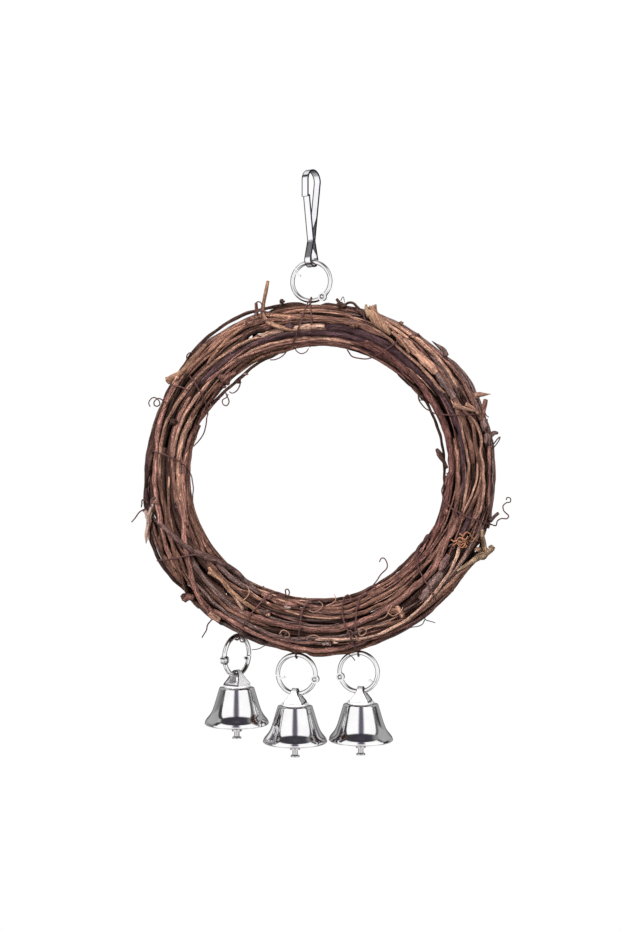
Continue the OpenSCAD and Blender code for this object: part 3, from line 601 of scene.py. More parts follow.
# Hollows where the filling strands lie deeper: angle, share across, reach in angle and share
HOLLOWS = [(42, .56, 8, .08), (-162, .44, 9, .10), (-129, .53, 11, .10), (11, .70, 8, .06),
           (-55, .72, 6, .07), (-81, .50, 5, .05)]
HOLLOW_DEPTH = 3.4

# Rings on the bundle: the joint where the wire passes the bundle, the joint at the ring's far
# side, the yaw, the room that the strands leave it and the angle of its hanger wire
RINGS = {
    "top": ("wreath_swing", "top_ring_swing", -14, 1.1, 92.15),
    "left": ("left_ring_swing", "left_bell_swing", 54, 0.3, -116.1),
    "centre": ("centre_ring_swing", "centre_bell_swing", -14, 0.3, -96.4),
    "right": ("right_ring_swing", "right_bell_swing", -14, 0.3, -77.0),
}
BELLS = ("left", "centre", "right")
WIRE_R = 1.05
RING_REACH = 16.0
SWING_SHARES = (-1, -0.75, -0.5, -0.25, 0, 0.25, 0.5, 0.75, 1)


def joint_place(name):
    return np.array(JOINTS[name]["pos_m"]) / MM


def ring_poses():
    """Where each ring's wire runs through its swing: wire, middle, square direction, radius, room."""
    poses = []
    for near, far, yaw, room, _ in RINGS.values():
        wire = joint_place(near)
        down = (joint_place(far) - wire) / 2
        square = unit(np.cross(down, flat_direction(yaw)))
        most = math.radians(JOINTS[near]["range_deg"][1])
        for share in SWING_SHARES:
            turn = np.array(Matrix.Rotation(most * share, 3, Vector(JOINTS[near]["axis"])))
            poses.append((wire, wire + turn @ down, turn @ square, np.linalg.norm(down), room))
    return poses


RING_POSES = ring_poses()


def leave_room(p, radius):
    """A strand's point, moved into the bundle where a ring would touch it at rest or in its swing."""
    for wire, middle, square, ring_r, room in RING_POSES:
        if abs(p[0] - wire[0]) > RING_REACH or abs(p[2] - wire[2]) > RING_REACH:
            continue
        off = p - middle
        level = off @ square
        gap = math.hypot(np.linalg.norm(off - level * square) - ring_r, level) - WIRE_R - radius
        if gap < room:
            a = math.degrees(math.atan2(p[2] - AT[2], p[0] - AT[0]))
            heart = around_wreath(a, INNER + bundle_r(a), 0)
            p = p + unit(heart - p) * (room - gap)
    return p


def clear_of_slits(a, u, half):
    """Moves a share across out of the slits, to the nearer side or into the bundle."""
    a = (a + 180) % 360 - 180
    for a0, a1, u0, u1 in SLITS:
        for lap in (-360, 0, 360):
            if a0 - SLIT_MARGIN <= a + lap <= a1 + SLIT_MARGIN and u0 - half < u < u1 + half:
                inward = u1 > OPEN_OUTER or (u0 > OPEN_INNER and u < (u0 + u1) / 2)
                u = u0 - half if inward else u1 + half
    return u


def clear_place(a, out, y, thick):
    """A place round the wreath, moved so that the strand is seen beside the slits."""
    r = bundle_r(a)
    u = clear_of_slits(a, (out / nearer(y) - INNER) / (2 * r), thick / 4 / r)
    return around_wreath(a, (INNER + 2 * r * u) * nearer(y), y)


def places_of(runs):
    """Angles and shares from runs of evenly spaced angles."""
    return [(start + step * i, u) for start, step, *shares in runs for i, u in enumerate(shares)]


def waves(i, seed, kinds):
    """The sum of waves at step i of a strand, of kinds that give size, rate and times the seed."""
    return sum(size * math.sin(rate * i + times * seed) for size, rate, times in kinds)


# How a strand strays across and up and how its thickness changes
STRAY = ((0.006, 0.31, 1), (0.004, 0.83, 2))
HEAVE = ((0.12, 0.23, 3),)
SWELL = ((0.07, 0.4, 1), (0.05, 1.3, 1))
# Millimetres of path that one whole share across counts for, and the shares kept at the back
SHARE_MM, BACK_LEAST, BACK_MOST = 20, 0.04, 0.96
# Steps over which an end dips into the bundle, how deep, the share of its radius that is left
# there, and how much a broken end is wider instead
END_STEPS, END_DIP, END_R, BROKEN_FLARE = 6, 2.4, 0.55, 0.1


def strand_points(places, thick, top, broken, side=-1, turn=0.0, wobble=1.0, slits=False):
    """Places in space along a strand, and its radius at each."""
    path = smooth_path([(a, u * SHARE_MM, 0) for a, u in places], 1.0)
    n = len(path)
    seed = rng.uniform(0, 100)
    points, radii = [], []
    for i, q in enumerate(path):
        a, u = q[0] + turn, q[1] / SHARE_MM
        u += wobble * waves(i, seed, STRAY)
        if side > 0:
            u = min(max(u, BACK_LEAST), BACK_MOST)
        if slits:
            u = clear_of_slits(a, u, thick / 4 / bundle_r(a))
        rise = top - thick / 2 + wobble * waves(i, seed, HEAVE)
        if slits and side < 0:
            rise -= HOLLOW_DEPTH * max(nearness(a, u, *hollow) for hollow in HOLLOWS)
        r = thick / 2 * (1 + waves(i, seed, SWELL))
        for steps, flag in ((i, "s"), (n - 1 - i, "e")):
            share = min(steps / END_STEPS, 1)
            if flag in broken:
                r *= 1 + BROKEN_FLARE * (1 - share)
            else:
                rise -= END_DIP * (1 - share) ** 1.5
                r *= END_R + (1 - END_R) * share
        points.append(leave_room(seen_at(a, u, rise, side), r))
        radii.append(r)
    return points, radii


# Front strands, and the same strands turned round for the back and a little lower
BACK_TURN, BACK_LOWER = 143.0, 0.3
front = Strands()
for tone, thick, top, broken, *runs in FRONT:
    front.tube(*strand_points(places_of(runs), thick, top, broken), tone, sides=12, rough=0.05)
front.build("wreath_front_vines", "bark", ("vine_1", "vine_2", "vine_3"))

back = Strands()
for tone, thick, top, broken, *runs in FRONT:
    line = strand_points(places_of(runs), thick, top - BACK_LOWER, "", side=1, turn=BACK_TURN, slits=True)
    back.tube(*line, tone, sides=8, rough=0.05)
back.build("wreath_back_vines", "bark", ("vine_4", "vine_5"))

# Strands round the outer edge, the back and the inner edge, which the view from the front grazes:
# how many, the angles round the bundle that they keep to (0 outward, 90 back), their span round
# the wreath and the step along it, drift round the bundle for each degree, thickness, top over
# the bundle and tones; how their ends dip and how thick they are there, and their room at rings
ROUND_COUNT, ROUND_FROM, ROUND_TO, ROUND_STEP = 96, -14, 194, 2
ROUND_SPAN, ROUND_DRIFT, ROUND_THICK, ROUND_TOP = (60, 130), (-0.5, 0.5), (1.3, 2.5), (-1.3, 0.15)
ROUND_TONES, ROUND_SWELL, ROUND_SWELL_RATE, ROUND_ROOM = "bbgkkrddp", 0.08, 0.7, 0.1
ROUND_END_DIP, ROUND_END_STEPS, ROUND_END_R = 2.0, 4, 0.6
around = Strands()
for k in range(ROUND_COUNT):
    a0, span = rng.uniform(0, 360), rng.uniform(*ROUND_SPAN)
    phi, drift = rng.uniform(ROUND_FROM, ROUND_TO), rng.uniform(*ROUND_DRIFT)
    thick, top = rng.uniform(*ROUND_THICK), rng.uniform(*ROUND_TOP)
    points, radii = [], []
    n = int(span / ROUND_STEP)
    for i in range(n):
        a = a0 + ROUND_STEP * i
        phi += ROUND_STEP * drift
        if not ROUND_FROM < phi < ROUND_TO:
            drift = -drift
            phi = min(max(phi, ROUND_FROM), ROUND_TO)
        to_end = min(i, n - 1 - i)
        dip = ROUND_END_DIP * max(1 - to_end / ROUND_END_STEPS, 0)
        reach = bundle_r(a) + top - thick / 2 - dip
        w = math.radians(phi)
        out = INNER + bundle_r(a) + reach * math.cos(w)
        points.append(clear_place(a, out, reach * math.sin(w), thick))
        swell = 1 + ROUND_SWELL * math.sin(i * ROUND_SWELL_RATE + k)
        radii.append(thick / 2 * (ROUND_END_R if to_end < 1 else 1) * swell)
    path = [leave_room(p, thick / 2 + ROUND_ROOM) for p in smooth_path(points, 1.4)]
    radii = np.interp(np.linspace(0, 1, len(path)), np.linspace(0, 1, n), radii)
    around.tube(path, radii, rng.choice(ROUND_TONES), sides=9, rough=0.06)
around.build("wreath_round_vines", "bark")

# Thick dark strands in the bundle's heart: how many, the turns of the wreath that their starts
# are spread over and the degrees that these stray, their span and the step along it, share of
# the bundle's radius, drift and thickness
INNER_COUNT, INNER_TURNS, INNER_STRAY = 54, 5.0, (-8, 8)
INNER_SPAN, INNER_STEP, INNER_DEPTH = (60, 150), 3, (0.35, 0.86)
INNER_DRIFT, INNER_THICK = (-0.45, 0.45), (2.1, 3.7)
inner = Strands()
for k in range(INNER_COUNT):
    a0 = k * 360 / INNER_COUNT * INNER_TURNS + rng.uniform(*INNER_STRAY)
    span = rng.uniform(*INNER_SPAN)
    depth, phi0 = rng.uniform(*INNER_DEPTH), rng.uniform(0, 360)
    drift, thick = rng.uniform(*INNER_DRIFT), rng.uniform(*INNER_THICK)
    points = []
    for i in range(0, int(span), INNER_STEP):
        w = math.radians(phi0 + drift * i)
        r = bundle_r(a0 + i)
        out = INNER + r + r * depth * math.cos(w)
        points.append(clear_place(a0 + i, out, r * depth * math.sin(w), thick))
    # Every third heart strand is painted near black ("x"), painted shade deep in the bundle
    inner.tube(smooth_path(points, 2.0), thick / 2, "d" if k % 3 else "x", sides=7, rough=0.05)
inner.build("wreath_inner_vines", "dark_bark", ("vine_core",))


# How much of a front strand's straying the plainer ones have
CALM = 0.4


def wandering(a0, span, u0, slope, steps, stray, lo, hi):
    """Places along a strand that keeps its share across, but for a slope and small strays."""
    return [(a0 + i * span / steps,
             min(max(u0 + slope * i * span / steps + rng.uniform(-stray, stray), lo), hi))
            for i in range(steps + 1)]


# Strands a little deeper than the front ones, which fill the hollows between them: how many, the
# turns and the stray of their starts, their span, share across, its slope for each degree,
# thickness, top over the bundle and tones; and how they wander, in steps, with the share that
# each strays by and the least and the most share across
DEEPER_COUNT, DEEPER_TURNS, DEEPER_STRAY, DEEPER_SPAN = 64, 7.0, (-6, 6), (45, 100)
DEEPER_ACROSS, DEEPER_SLOPE, DEEPER_THICK = (0.06, 0.94), (-0.004, 0.004), (1.2, 2.2)
# Their tones are mostly dark: painted shade for strands that lie in the hollows
DEEPER_TOP, DEEPER_TONES, DEEPER_WANDER = (-3.0, -1.5), "dddrpgx", (6, 0.008, 0.05, 0.95)
deeper = Strands()
for k in range(DEEPER_COUNT):
    a0 = k * 360 / DEEPER_COUNT * DEEPER_TURNS + rng.uniform(*DEEPER_STRAY)
    span = rng.uniform(*DEEPER_SPAN)
    u0, slope, thick = rng.uniform(*DEEPER_ACROSS), rng.uniform(*DEEPER_SLOPE), rng.uniform(*DEEPER_THICK)
    places = wandering(a0, span, u0, slope, *DEEPER_WANDER)
    line = strand_points(places, thick, rng.uniform(*DEEPER_TOP), "", wobble=CALM, slits=True)
    deeper.tube(*line, rng.choice(DEEPER_TONES), sides=9, rough=0.05)
deeper.build("wreath_deeper_vines", "bark")

# Thin shoots that wander over the front and the sides, every fourth one over the back, with the
# same values
SHOOT_COUNT, SHOOT_SPAN, SHOOT_ACROSS, SHOOT_SLOPE = 150, (18, 60), (0.03, 0.97), (-0.006, 0.006)
SHOOT_THICK, SHOOT_TOP, SHOOT_TONES = (0.5, 1.1), (-1.0, 0.35), "bbgkkrdddt"
SHOOT_WANDER = 5, 0.007, 0, 1
shoots = Strands()
for k in range(SHOOT_COUNT):
    a0, span, u0 = rng.uniform(0, 360), rng.uniform(*SHOOT_SPAN), rng.uniform(*SHOOT_ACROSS)
    slope, thick = rng.uniform(*SHOOT_SLOPE), rng.uniform(*SHOOT_THICK)
    places = wandering(a0, span, u0, slope, *SHOOT_WANDER)
    tone, top = rng.choice(SHOOT_TONES), rng.uniform(*SHOOT_TOP)
    line = strand_points(places, thick, top, "", side=-1 if k % 4 else 1, wobble=CALM, slits=True)
    shoots.tube(*line, tone, sides=7, rough=0.04)
shoots.build("wreath_thin_shoots", "bark")

# The broad vine that crosses the turns at the lower left: thickness, top, and shares of its
# width along it
CROSSING_THICK, CROSSING_TOP = 3.3, 1.5
CROSSING_WIDTHS = [0, 0.12, 0.32, 0.5, 1], [0.4, 0.62, 1.0, 0.95, 0.62]
crossing = Strands()
points, radii = strand_points(places_of(CROSSING), CROSSING_THICK, CROSSING_TOP, "")
widths = np.interp(np.linspace(0, 1, len(radii)), *CROSSING_WIDTHS)
crossing.tube(points, radii * widths, "v", sides=14, rough=0.04)
crossing.build("crossing_vine_bark", "bark", ("crossing_vine",))

# ------------------------------------------------------------ twigs and stubs
# Runs of wood: tone, height over the bundle, depth beside it, widths along it, and the pixels
# (x, y, x, y and so on) of the view that it passes. Knobs: pixel, height, radius, tone, squash.
# Flakes of bark: tone, height, width and pixels
WOOD = {
    "upright_twig_bark": ("upright_twig", [
        ("y", .45, -6.5, (1.4, 1.6, 1.6, 1.7, 1.9, 2.2, 2.3, 2.2, 1.8, 1), (268, 281, 266.5, 288, 265, 296,
         263.5, 304, 263, 311, 264.5, 318, 269.5, 323, 277, 326.5, 287, 329, 297, 330.5)),
        ("k", .6, -5, (1.5, 1.7, 1.2), (256, 303, 256.5, 309, 257.5, 315)),
    ], [], []),
    "left_stub_wood": ("left_stub", [
        ("y", .5, -4, (3.6, 3.3, 2.6, 2.3, 2.4, 2.6, 2.4, 1.6), (167, 381, 171, 379, 177, 375.5, 183, 371,
         189, 364.5, 195, 358, 201, 350.5, 206, 345)),
        ("t", .6, -4, (.5, 1.3, 1.8), (165.2, 377.5, 169, 377.5, 174, 376)),
        ("t", .6, -4, (.6, 1.4, 2), (172, 384.5, 174, 381, 178, 377)),
    ], [], []),
    "forked_stump_wood": ("forked_stump", [
        ("y", .9, -5.5, (3.6, 4.6, 5.2, 4.4, 3.2, 1.8), (371, 307, 372, 312, 375, 318, 380, 324, 385.5, 329,
         391, 334)),
        ("u", 1.1, -5.5, (1, 2.2, 2.8), (366, 304.5, 366.5, 309, 369.5, 316)),
        ("t", 1.5, -5.5, (.7, 1.5, 1.6), (369.5, 306, 370.5, 311, 373, 317)),
        ("b", 1.2, -5.5, (1, 1.8, 2.4), (375.5, 304.5, 375.5, 310, 376.5, 317)),
        ("k", 1.6, -5.5, (.5, 1.1, 1.3), (373, 304.8, 373.5, 309, 374.5, 313)),
        ("k", 1.2, -5, (.8, 1.6, 1.4), (379, 314, 381.5, 318, 385, 322)),
        ("t", .9, -5, (2, 1.8, 1.6, 1.2), (383, 321, 391, 327, 399, 332, 408, 338)),
        ("b", .9, -5, (2, 1.6, 1.4, 1.2), (392, 332, 400, 339, 406, 347, 409, 353)),
    ], [], [
        ("t", .75, 3.9, 397, 335, 406, 343, 417, 353, 428, 364, 437, 373),
    ]),
    "right_stub_wood": ("right_stub", [
        ("u", .9, -4.5, (.9, 1.4, 2, 3, 3.8, 3), (457, 571, 464, 566.5, 471, 562, 478, 557.5, 484, 553.5,
         489, 551)),
        ("u", .9, -4.5, (3, 2.4, 2.2, 1.6), (484, 551, 483.5, 544, 482.5, 537, 482.5, 530)),
        ("u", .9, -4.5, (2.4, 2.2, 2.4), (485, 552, 490, 551, 491.5, 548.5)),
        ("g", .5, -2, (1.7, 1.5, 1.4), (490.5, 521, 494, 517, 498.5, 513)),
    ], [
        (491.5, 548.5, .8, 1.4, "u", (1, 1, 1)), (482.5, 555.5, 1, 1.9, "u", (1.1, .9, .9)), (478, 549.5,
        1.2, 1.2, "y", (1.2, .8, .8)),
    ], []),
    "bark_sliver_wood": ("bark_sliver", [
        ("q", .5, -3, (.6, 1.5, 1.7, 1.3, 1.3, .8), (156, 500, 153, 505, 150, 512, 148, 521, 147, 531,
         146.5, 541.5)),
        ("w", 1, -3, (.5, .9, .7, .5), (152, 507, 149.4, 514, 148.6, 524, 146.4, 533)),
        ("t", .6, -3, (.5, .8, .4), (146, 528, 145.4, 535, 146.2, 543.5)),
        ("g", 1, -3, (.8, 1.2, 1, .5), (155, 497, 151.6, 500.4, 151, 505, 153.4, 508.6)),
        ("k", .9, -3, (1.2, 1.4, 1), (151, 503, 154.5, 501.5, 158, 504)),
        ("k", .7, -3, (.7, 1, .9), (149, 540, 149, 530, 151, 520)),
    ], [], [
        ("q", .9, 1.9, 151, 508, 149.4, 518, 148.4, 527, 147.6, 537),
    ]),
}
TRIM_RUNS = [
    ("g", .2, -2, (3, 2.4, 1.2, .3), (446, 356, 443, 350, 437, 345, 431.8, 341)),
    ("t", .2, -2, (3, 2.4, 1.5, .3), (474, 396, 479, 394.5, 484, 394.5, 490.5, 394)),
    ("b", .4, -2, (2.6, 2.8, 2.6, 2), (481, 420, 482.5, 412, 484.5, 405, 485.5, 399.5)),
    ("d", .3, -2, (2, 1.6, 1.4), (342, 307, 339.5, 303, 336.5, 299)),
    ("d", .3, -2, (1, 1.2, 1.2, 1.4), (344, 306, 348, 303, 353, 303, 358, 308)),
    ("d", .5, -2, (1.6, 2.4, 1.8), (356, 309, 360, 311, 364, 315)),
    ("d", -.5, -3, (1.4, 1.5, 2.2, 2.6, 1.4), (447, 468, 444.5, 463, 441, 457, 438.5, 452, 436.5, 449)),
    ("g", .4, -2, (1.6, 2.2, 1.2), (490, 437, 494, 433, 498, 433)),
    ("t", .9, -2, (3, 2, 1.6, 1), (454, 405, 462, 408, 470, 410, 476, 411)),
    ("t", .9, -2, (1.6, 1.4, 1), (466, 404, 473, 408, 478, 414)),
    ("k", .4, -3, (3, 3.4, 2.4), (183.5, 600, 188, 597, 193, 597.5)),
]
TRIM_KNOBS = [
    (282, 301.5, .2, 1, "d", (1.2, 1, 1)), (341, 306, .4, 1.7, "d", (1.5, 1, .9)), (401, 323.5, .1, .9, "y",
    (1.2, 1, 1)), (418, 335, .1, .7, "d", (1.2, 1, 1)), (156.5, 422, .2, .9, "d", (1, 1, 1)), (153, 451.5,
    .2, .9, "d", (1, 1, 1)), (173.5, 422, .3, 1.4, "d", (1.3, .7, 1)), (184, 597, .2, 1.5, "d", (1, 1, 1)),
    (245.5, 374, .3, .7, "g", (1.9, .9, .7)), (289, 327, .3, 1.6, "p", (1.3, .7, .9)), (238, 382, -.8, .8,
    "d", (1.9, .8, .8)), (224, 387, .2, .7, "k", (1.5, .7, .8)), (187, 523, .5, 1.2, "k", (1, 1, 1.3)),
    (484, 425, .4, 2, "g", (.9, 1, 1.5)), (487, 440, .4, 2.1, "g", (.9, 1, 1.3)), (268, 615, .4, .7, "t",
    (1.4, .6, .7)), (264, 613.5, .4, .7, "v", (1.1, .7, .9)), (446, 512, .3, 1.3, "k", (1, 1, 1.2)), (354,
    326, .6, 1.3, "b", (1.5, .8, .8)),
]
TRIM_FLAKES = [
    ("g", .5, 4.2, 441, 572, 437, 579, 431, 587, 426, 594, 421, 600),
    ("v", .5, 3.2, 449, 555, 446, 560, 443, 566, 440, 571),
    ("b", .8, 3, 387, 613, 393, 611, 398, 612, 404, 617),
    ("t", .9, 2.2, 397, 606, 400, 612, 403, 618),
    ("g", .6, 3, 436, 372, 442, 381, 449, 390, 455, 398),
    ("k", .6, 3, 219, 376, 224, 379, 229, 385),
    ("k", .5, 1.8, 221, 381, 229, 375, 236, 372),
    ("t", .5, 3.2, 209, 613, 214, 617, 220, 620),
    ("q", .8, 2.2, 143.5, 509, 147, 515, 149, 523),
    ("t", .7, 1.1, 276, 599.5, 281, 600.5, 286, 602.5),
    ("q", .9, 1.3, 322, 644.5, 327, 643.5, 331, 645.5),
    ("w", .9, 1, 333, 642.5, 338, 643),
    ("q", .9, 1.2, 284, 606, 288, 608, 291, 607),
    ("v", .8, 2, 259, 610, 264, 612.5, 270, 611.5),
]
# Their depth beside the bundle, and how far apart the places along a run and a flake are
KNOB_DEPTH, FLAKE_DEPTH, RUN_STEP, FLAKE_STEP = -3.0, -2.0, 0.5, 0.6


def pixel_path(pixels, rise, loose_y, step):
    return smooth_path([from_pixel(x, y, rise, loose_y) for x, y in zip(pixels[::2], pixels[1::2])], step)


def tapered(path, widths):
    """Radii along a path from a few widths in millimetres, spaced evenly."""
    return np.interp(np.linspace(0, len(widths) - 1, len(path)), range(len(widths)), widths) / 2


def wood_piece(name, slot, nodes, runs, knobs, flakes, sides, rough):
    s = Strands()
    for tone, rise, loose, widths, pixels in runs:
        path = pixel_path(pixels, rise, loose, RUN_STEP)
        s.tube(path, tapered(path, widths), tone, sides=sides, rough=rough)
    for x, y, rise, radius, tone, squash in knobs:
        s.knob(from_pixel(x, y, rise, KNOB_DEPTH), radius, tone, squash)
    for tone, rise, width, *pixels in flakes:
        s.flake(pixel_path(pixels, rise, FLAKE_DEPTH, FLAKE_STEP), width, tone)
    s.build(name, slot, nodes)


for name, (node, *rest) in WOOD.items():
    wood_piece(name, "broken_wood", (node,), *rest, sides=14, rough=0.09)
# Thorns, knobs, buds and scraps that belong to the vines
wood_piece("knobs_and_scraps", "bark", (), TRIM_RUNS, TRIM_KNOBS, TRIM_FLAKES, sides=12, rough=0.1)

# ------------------------------------------------------- tendrils and wires
# Each piece: slot, the node that it stands for, tone, and its lines: width, height over the
# bundle, depth beside it, and pixels
TENDRILS = {
    "left_tendril_curl": ("tendril", "left_tendril", "s", [
        (.7, .6, -3, 148, 503, 145, 500, 142, 500.5, 142, 504, 141.5, 507),
        (.65, .3, -3, 145, 509, 140, 511.5, 136, 517, 131.5, 522),
    ]),
    "upper_left_tendril_curl": ("tendril", "upper_left_tendril", "s", [
        (.6, .3, -3, 166, 403, 163, 400.5, 158, 398.5, 154.5, 401, 154.5, 405, 157, 406.5, 159.5, 404.5,
         159, 400.5, 155.5, 397.7, 151.5, 398.5, 148.8, 402.5, 150.3, 406.4),
        (.6, .3, -3, 187.5, 361, 186.8, 356, 189.3, 352.8, 193, 352.8),
    ]),
    "inner_tendril_curl": ("tendril", "inner_tendril", "s", [
        (.6, .3, -3, 240, 378, 240, 385, 237, 390.5, 232.5, 393, 229.5, 391.5),
        (.6, .4, -3.5, 219, 400, 221.5, 393.5, 225, 392, 227.5, 397, 228.8, 402, 226.5, 405.5, 223, 404,
         222.5, 400, 226, 397.5, 228.5, 394),
        (.6, .3, -3, 206.5, 418, 205.5, 428, 201, 438, 193.5, 446.5),
        (.5, 0, -2.5, 295, 348, 297, 351.5, 301.5, 353.5, 306.5, 352, 308.5, 348.5),
        (.6, .3, -4, 373, 586, 379, 577, 386, 569, 387.4, 563.7, 384.3, 558.7, 381, 558.4, 379.6, 561.7),
        (.6, .4, -4, 286, 594, 285.7, 590, 288, 589.6, 289.2, 593, 287.6, 596, 285.8, 594),
        (.6, .4, -4, 345, 596.5, 347.5, 595, 349.3, 597),
    ]),
    "lower_left_tendril_curl": ("tendril", "lower_left_tendril", "s", [
        (.6, .3, -3, 212, 619.5, 207.5, 625, 206, 631, 202, 637.5),
        (.6, .5, -3, 241, 637, 244.5, 638.5, 243.7, 642, 240.3, 641.3, 240.2, 638),
        (.4, .3, -3, 266, 645, 259, 648.5, 251.5, 650),
        (.45, .3, -3, 424.5, 613, 425.4, 619.5, 435, 622.7),
        (.45, .3, -3, 425.4, 619.5, 421, 625, 407.5, 628.5),
        (.45, .3, -3, 349, 654, 352.5, 657.5, 355, 661),
    ]),
    "right_tendril_curl": ("tendril", "right_tendril", "s", [
        (.6, .4, -3, 490, 524, 495.5, 525.5, 497.3, 521, 501.5, 518.8, 506.5, 518.6, 508.4, 515.3, 504, 511,
         502.8, 506, 506.3, 502.7, 510.3, 502, 510.2, 498.6, 507, 497.6, 506.3, 500),
        (.6, .4, -3, 494, 444, 497, 439, 500, 437, 499, 441, 495, 445.5, 493, 448),
        (.5, .4, -3, 484, 410, 486, 415, 489, 417),
        (.4, .2, -3, 341, 301, 343, 297, 344.5, 302),
    ]),
    "orange_tangle": ("tendril", "", "a", [
        (.62, 1.2, -3, 451, 540, 454, 541.6, 457, 540, 461, 542.3, 465, 541, 468, 543.6),
        (.6, 1.4, -3, 453, 545.5, 457, 543, 461, 545.6, 464, 543.4, 466.5, 546.4, 462, 547.6),
        (.62, 1.2, -3, 459, 533.5, 463, 535.2, 466.5, 532.4, 470, 534.2, 472, 538, 475.6, 537.6, 477.8,
         534),
        (.55, 1.7, -3, 464.5, 535, 461.5, 539, 465.5, 543, 462, 547.5, 458, 545),
        (.5, 1.9, -3, 468, 536, 465, 539.5, 459.5, 538, 456.5, 541.5, 459, 546),
        (.5, 1.2, -3, 469, 540.5, 472.5, 541.8, 474.5, 539, 478, 540.8),
    ]),
    "pale_curls": ("tendril", "", "t", [
        (.5, 1, -3, 358, 630.5, 362, 627.6, 366, 630, 364.6, 634.5, 360.5, 635.4, 358.6, 632, 361.6, 630.6),
        (.45, 1, -3, 355.5, 636, 358, 640.5, 362.5, 639),
        (.45, 1, -3, 279, 634, 283, 630.5, 288, 632, 289, 636.5, 284.5, 638),
        (.42, 1.1, -3, 306, 640, 310, 636.2, 316, 635.4, 321, 638.4),
        (.45, .9, -3, 318, 600.5, 322.5, 604, 320, 609.5, 313.5, 612, 309, 610.4),
        (.42, .9, -3, 326, 606, 333, 603, 336, 598.5, 334, 594.6),
        (.34, .9, -3, 366, 629, 374, 627, 383, 624.5, 391, 621.4),
        (.42, 1.1, -3, 378, 620, 384, 617.6, 389, 611.6, 391.6, 605.4),
        (.42, 1.2, -3, 388, 613, 393, 615.8, 399, 613.2, 403, 607),
        (.42, .8, -3, 246, 585, 249, 590, 247.6, 596.6, 243, 600.4),
        (.4, .8, -3, 430, 592, 434, 596.4, 434.6, 601.6),
    ]),
}
BINDINGS = {
    "left_binding_wires": ("binding_wire", "binding_wires_left", "s", [
        (.62, .9, -3, 309, 300.5, 305, 309, 301.5, 319, 297.5, 331, 292.5, 344, 285, 353.5, 276, 359.5, 270,
         360),
        (.62, .9, -3, 153, 451, 165, 455, 175, 459, 184, 465, 190, 473, 192.8, 483, 193, 495, 192, 505),
        (.66, .95, -3, 190, 376, 195, 383, 201, 393, 206, 404, 208, 412, 206.5, 418),
        (.7, .9, -3, 171, 385.5, 179, 386.5, 188, 390),
        (.6, 1.5, -6.5, 254.5, 318, 255.5, 310, 256, 303.5, 259, 301.5, 261.5, 304, 261, 311, 261.5, 317),
        (.6, 1.7, -8, 256.5, 312, 260, 310.5, 266, 311.5, 270, 314, 268, 317),
        (.6, 1.3, -8, 258, 319.5, 263, 321, 268.5, 320, 270.5, 325, 266, 330),
        (.5, .9, -3, 245, 321, 249, 324.5, 253, 323, 252, 319, 248.5, 318.5, 246, 323, 247.5, 328),
        (.72, 1.2, -3, 157, 560.5, 165, 560, 175, 558.3, 186, 556, 196, 554.7, 206, 555.3, 218, 558),
    ]),
    "right_binding_wires": ("binding_wire", "binding_wires_right", "s", [
        (.62, .95, -3, 347, 350, 352, 356, 361, 358.8, 372, 357.6, 381.5, 352.5, 393, 344.5, 402, 338, 411,
         335.5, 418, 334.5),
        (.5, 1.2, -3, 359, 307.5, 363.5, 314, 366, 323, 369.5, 330),
        (.6, .95, -3, 417.5, 393, 420, 402, 426, 408.5, 435.5, 413.5, 450, 415, 470, 414.5, 485, 413.8),
        (.66, 1, -3, 444, 482, 442, 491, 443.5, 498, 450.5, 507, 464, 515.5, 479, 521, 494, 525.5),
        (.5, .8, -3, 444, 499, 454.5, 511.5, 458.5, 519, 456, 527),
        (.7, .9, -3, 430, 536, 422, 543, 417, 553, 417.5, 562, 420, 572, 427, 584, 433.5, 594.5, 436,
         600.5),
    ]),
}
LOOSE_WIRES = {
    "right_hanger_second_wire": ("binding_wire", "", "s", [
        (.72, 1, -6.5, 374, 587, 367, 589, 360, 598, 356.5, 611, 355, 630, 355, 651),
    ]),
    "loose_wire_arcs": ("binding_wire", "", "s", [
        (.66, 1.1, -8.5, 263, 603, 266.5, 597.5, 271, 593.4, 277, 592.2, 282, 594.2, 285, 598.6),
        (.6, 1.1, -8.5, 300.6, 614, 304.5, 606, 310, 601.2, 317, 599.2, 322, 599.6, 326, 602.6),
        (.6, 1.1, -8, 342.4, 608, 343, 600.4, 346, 596, 350, 596.4, 350.4, 601.6),
        (.66, 1.1, -8, 357, 608, 360, 598, 365.5, 590.8, 371, 587, 376, 587),
    ]),
}
# Small curls on the front: pixel of the middle, reach sideways and up
CURLS = [
    (284, 633, 3.6, 4), (309, 638, 4.2, 2.6), (327, 643, 3, 2.4), (350, 634, 3, 3.6), (359, 631, 2.4, 3.2),
    (338, 625, 3.2, 2.2), (294, 640, 3, 1.8), (238, 360, 3, 3), (232, 353, 2.6, 2), (182, 470, 2.2, 3.6),
    (176, 505, 2, 4), (447, 476, 2.4, 3), (452, 547, 3.4, 3), (421, 398, 2.6, 2.6),
]
CURL_TURN, CURL_STEPS, CURL_CLOSING, CURL_LINE = 52, 7, 0.07, (0.5, 0.9, -3.0)
# How a thin line trembles in each direction: size in mm, rate and times the seed
TREMBLE = ((0.10, 0.35, 1), (0.10, 0.27, 2), (0.10, 0.31, 3))
# How much of its width a thin line keeps at its end, and how far apart its places are
THIN_END, THIN_STEP = 0.85, 0.35


def thin_lines(name, slot, node, tone, lines):
    s = Strands()
    for width, rise, loose, *pixels in lines:
        path = pixel_path(pixels, rise, loose, THIN_STEP)
        seed = rng.uniform(0, 50)
        path = [q + [waves(i, seed, [kind]) for kind in TREMBLE] for i, q in enumerate(path)]
        s.tube(path, tapered(path, [width, width, width * THIN_END]), tone, sides=8)
    s.build(name, slot, (node,) if node else ())


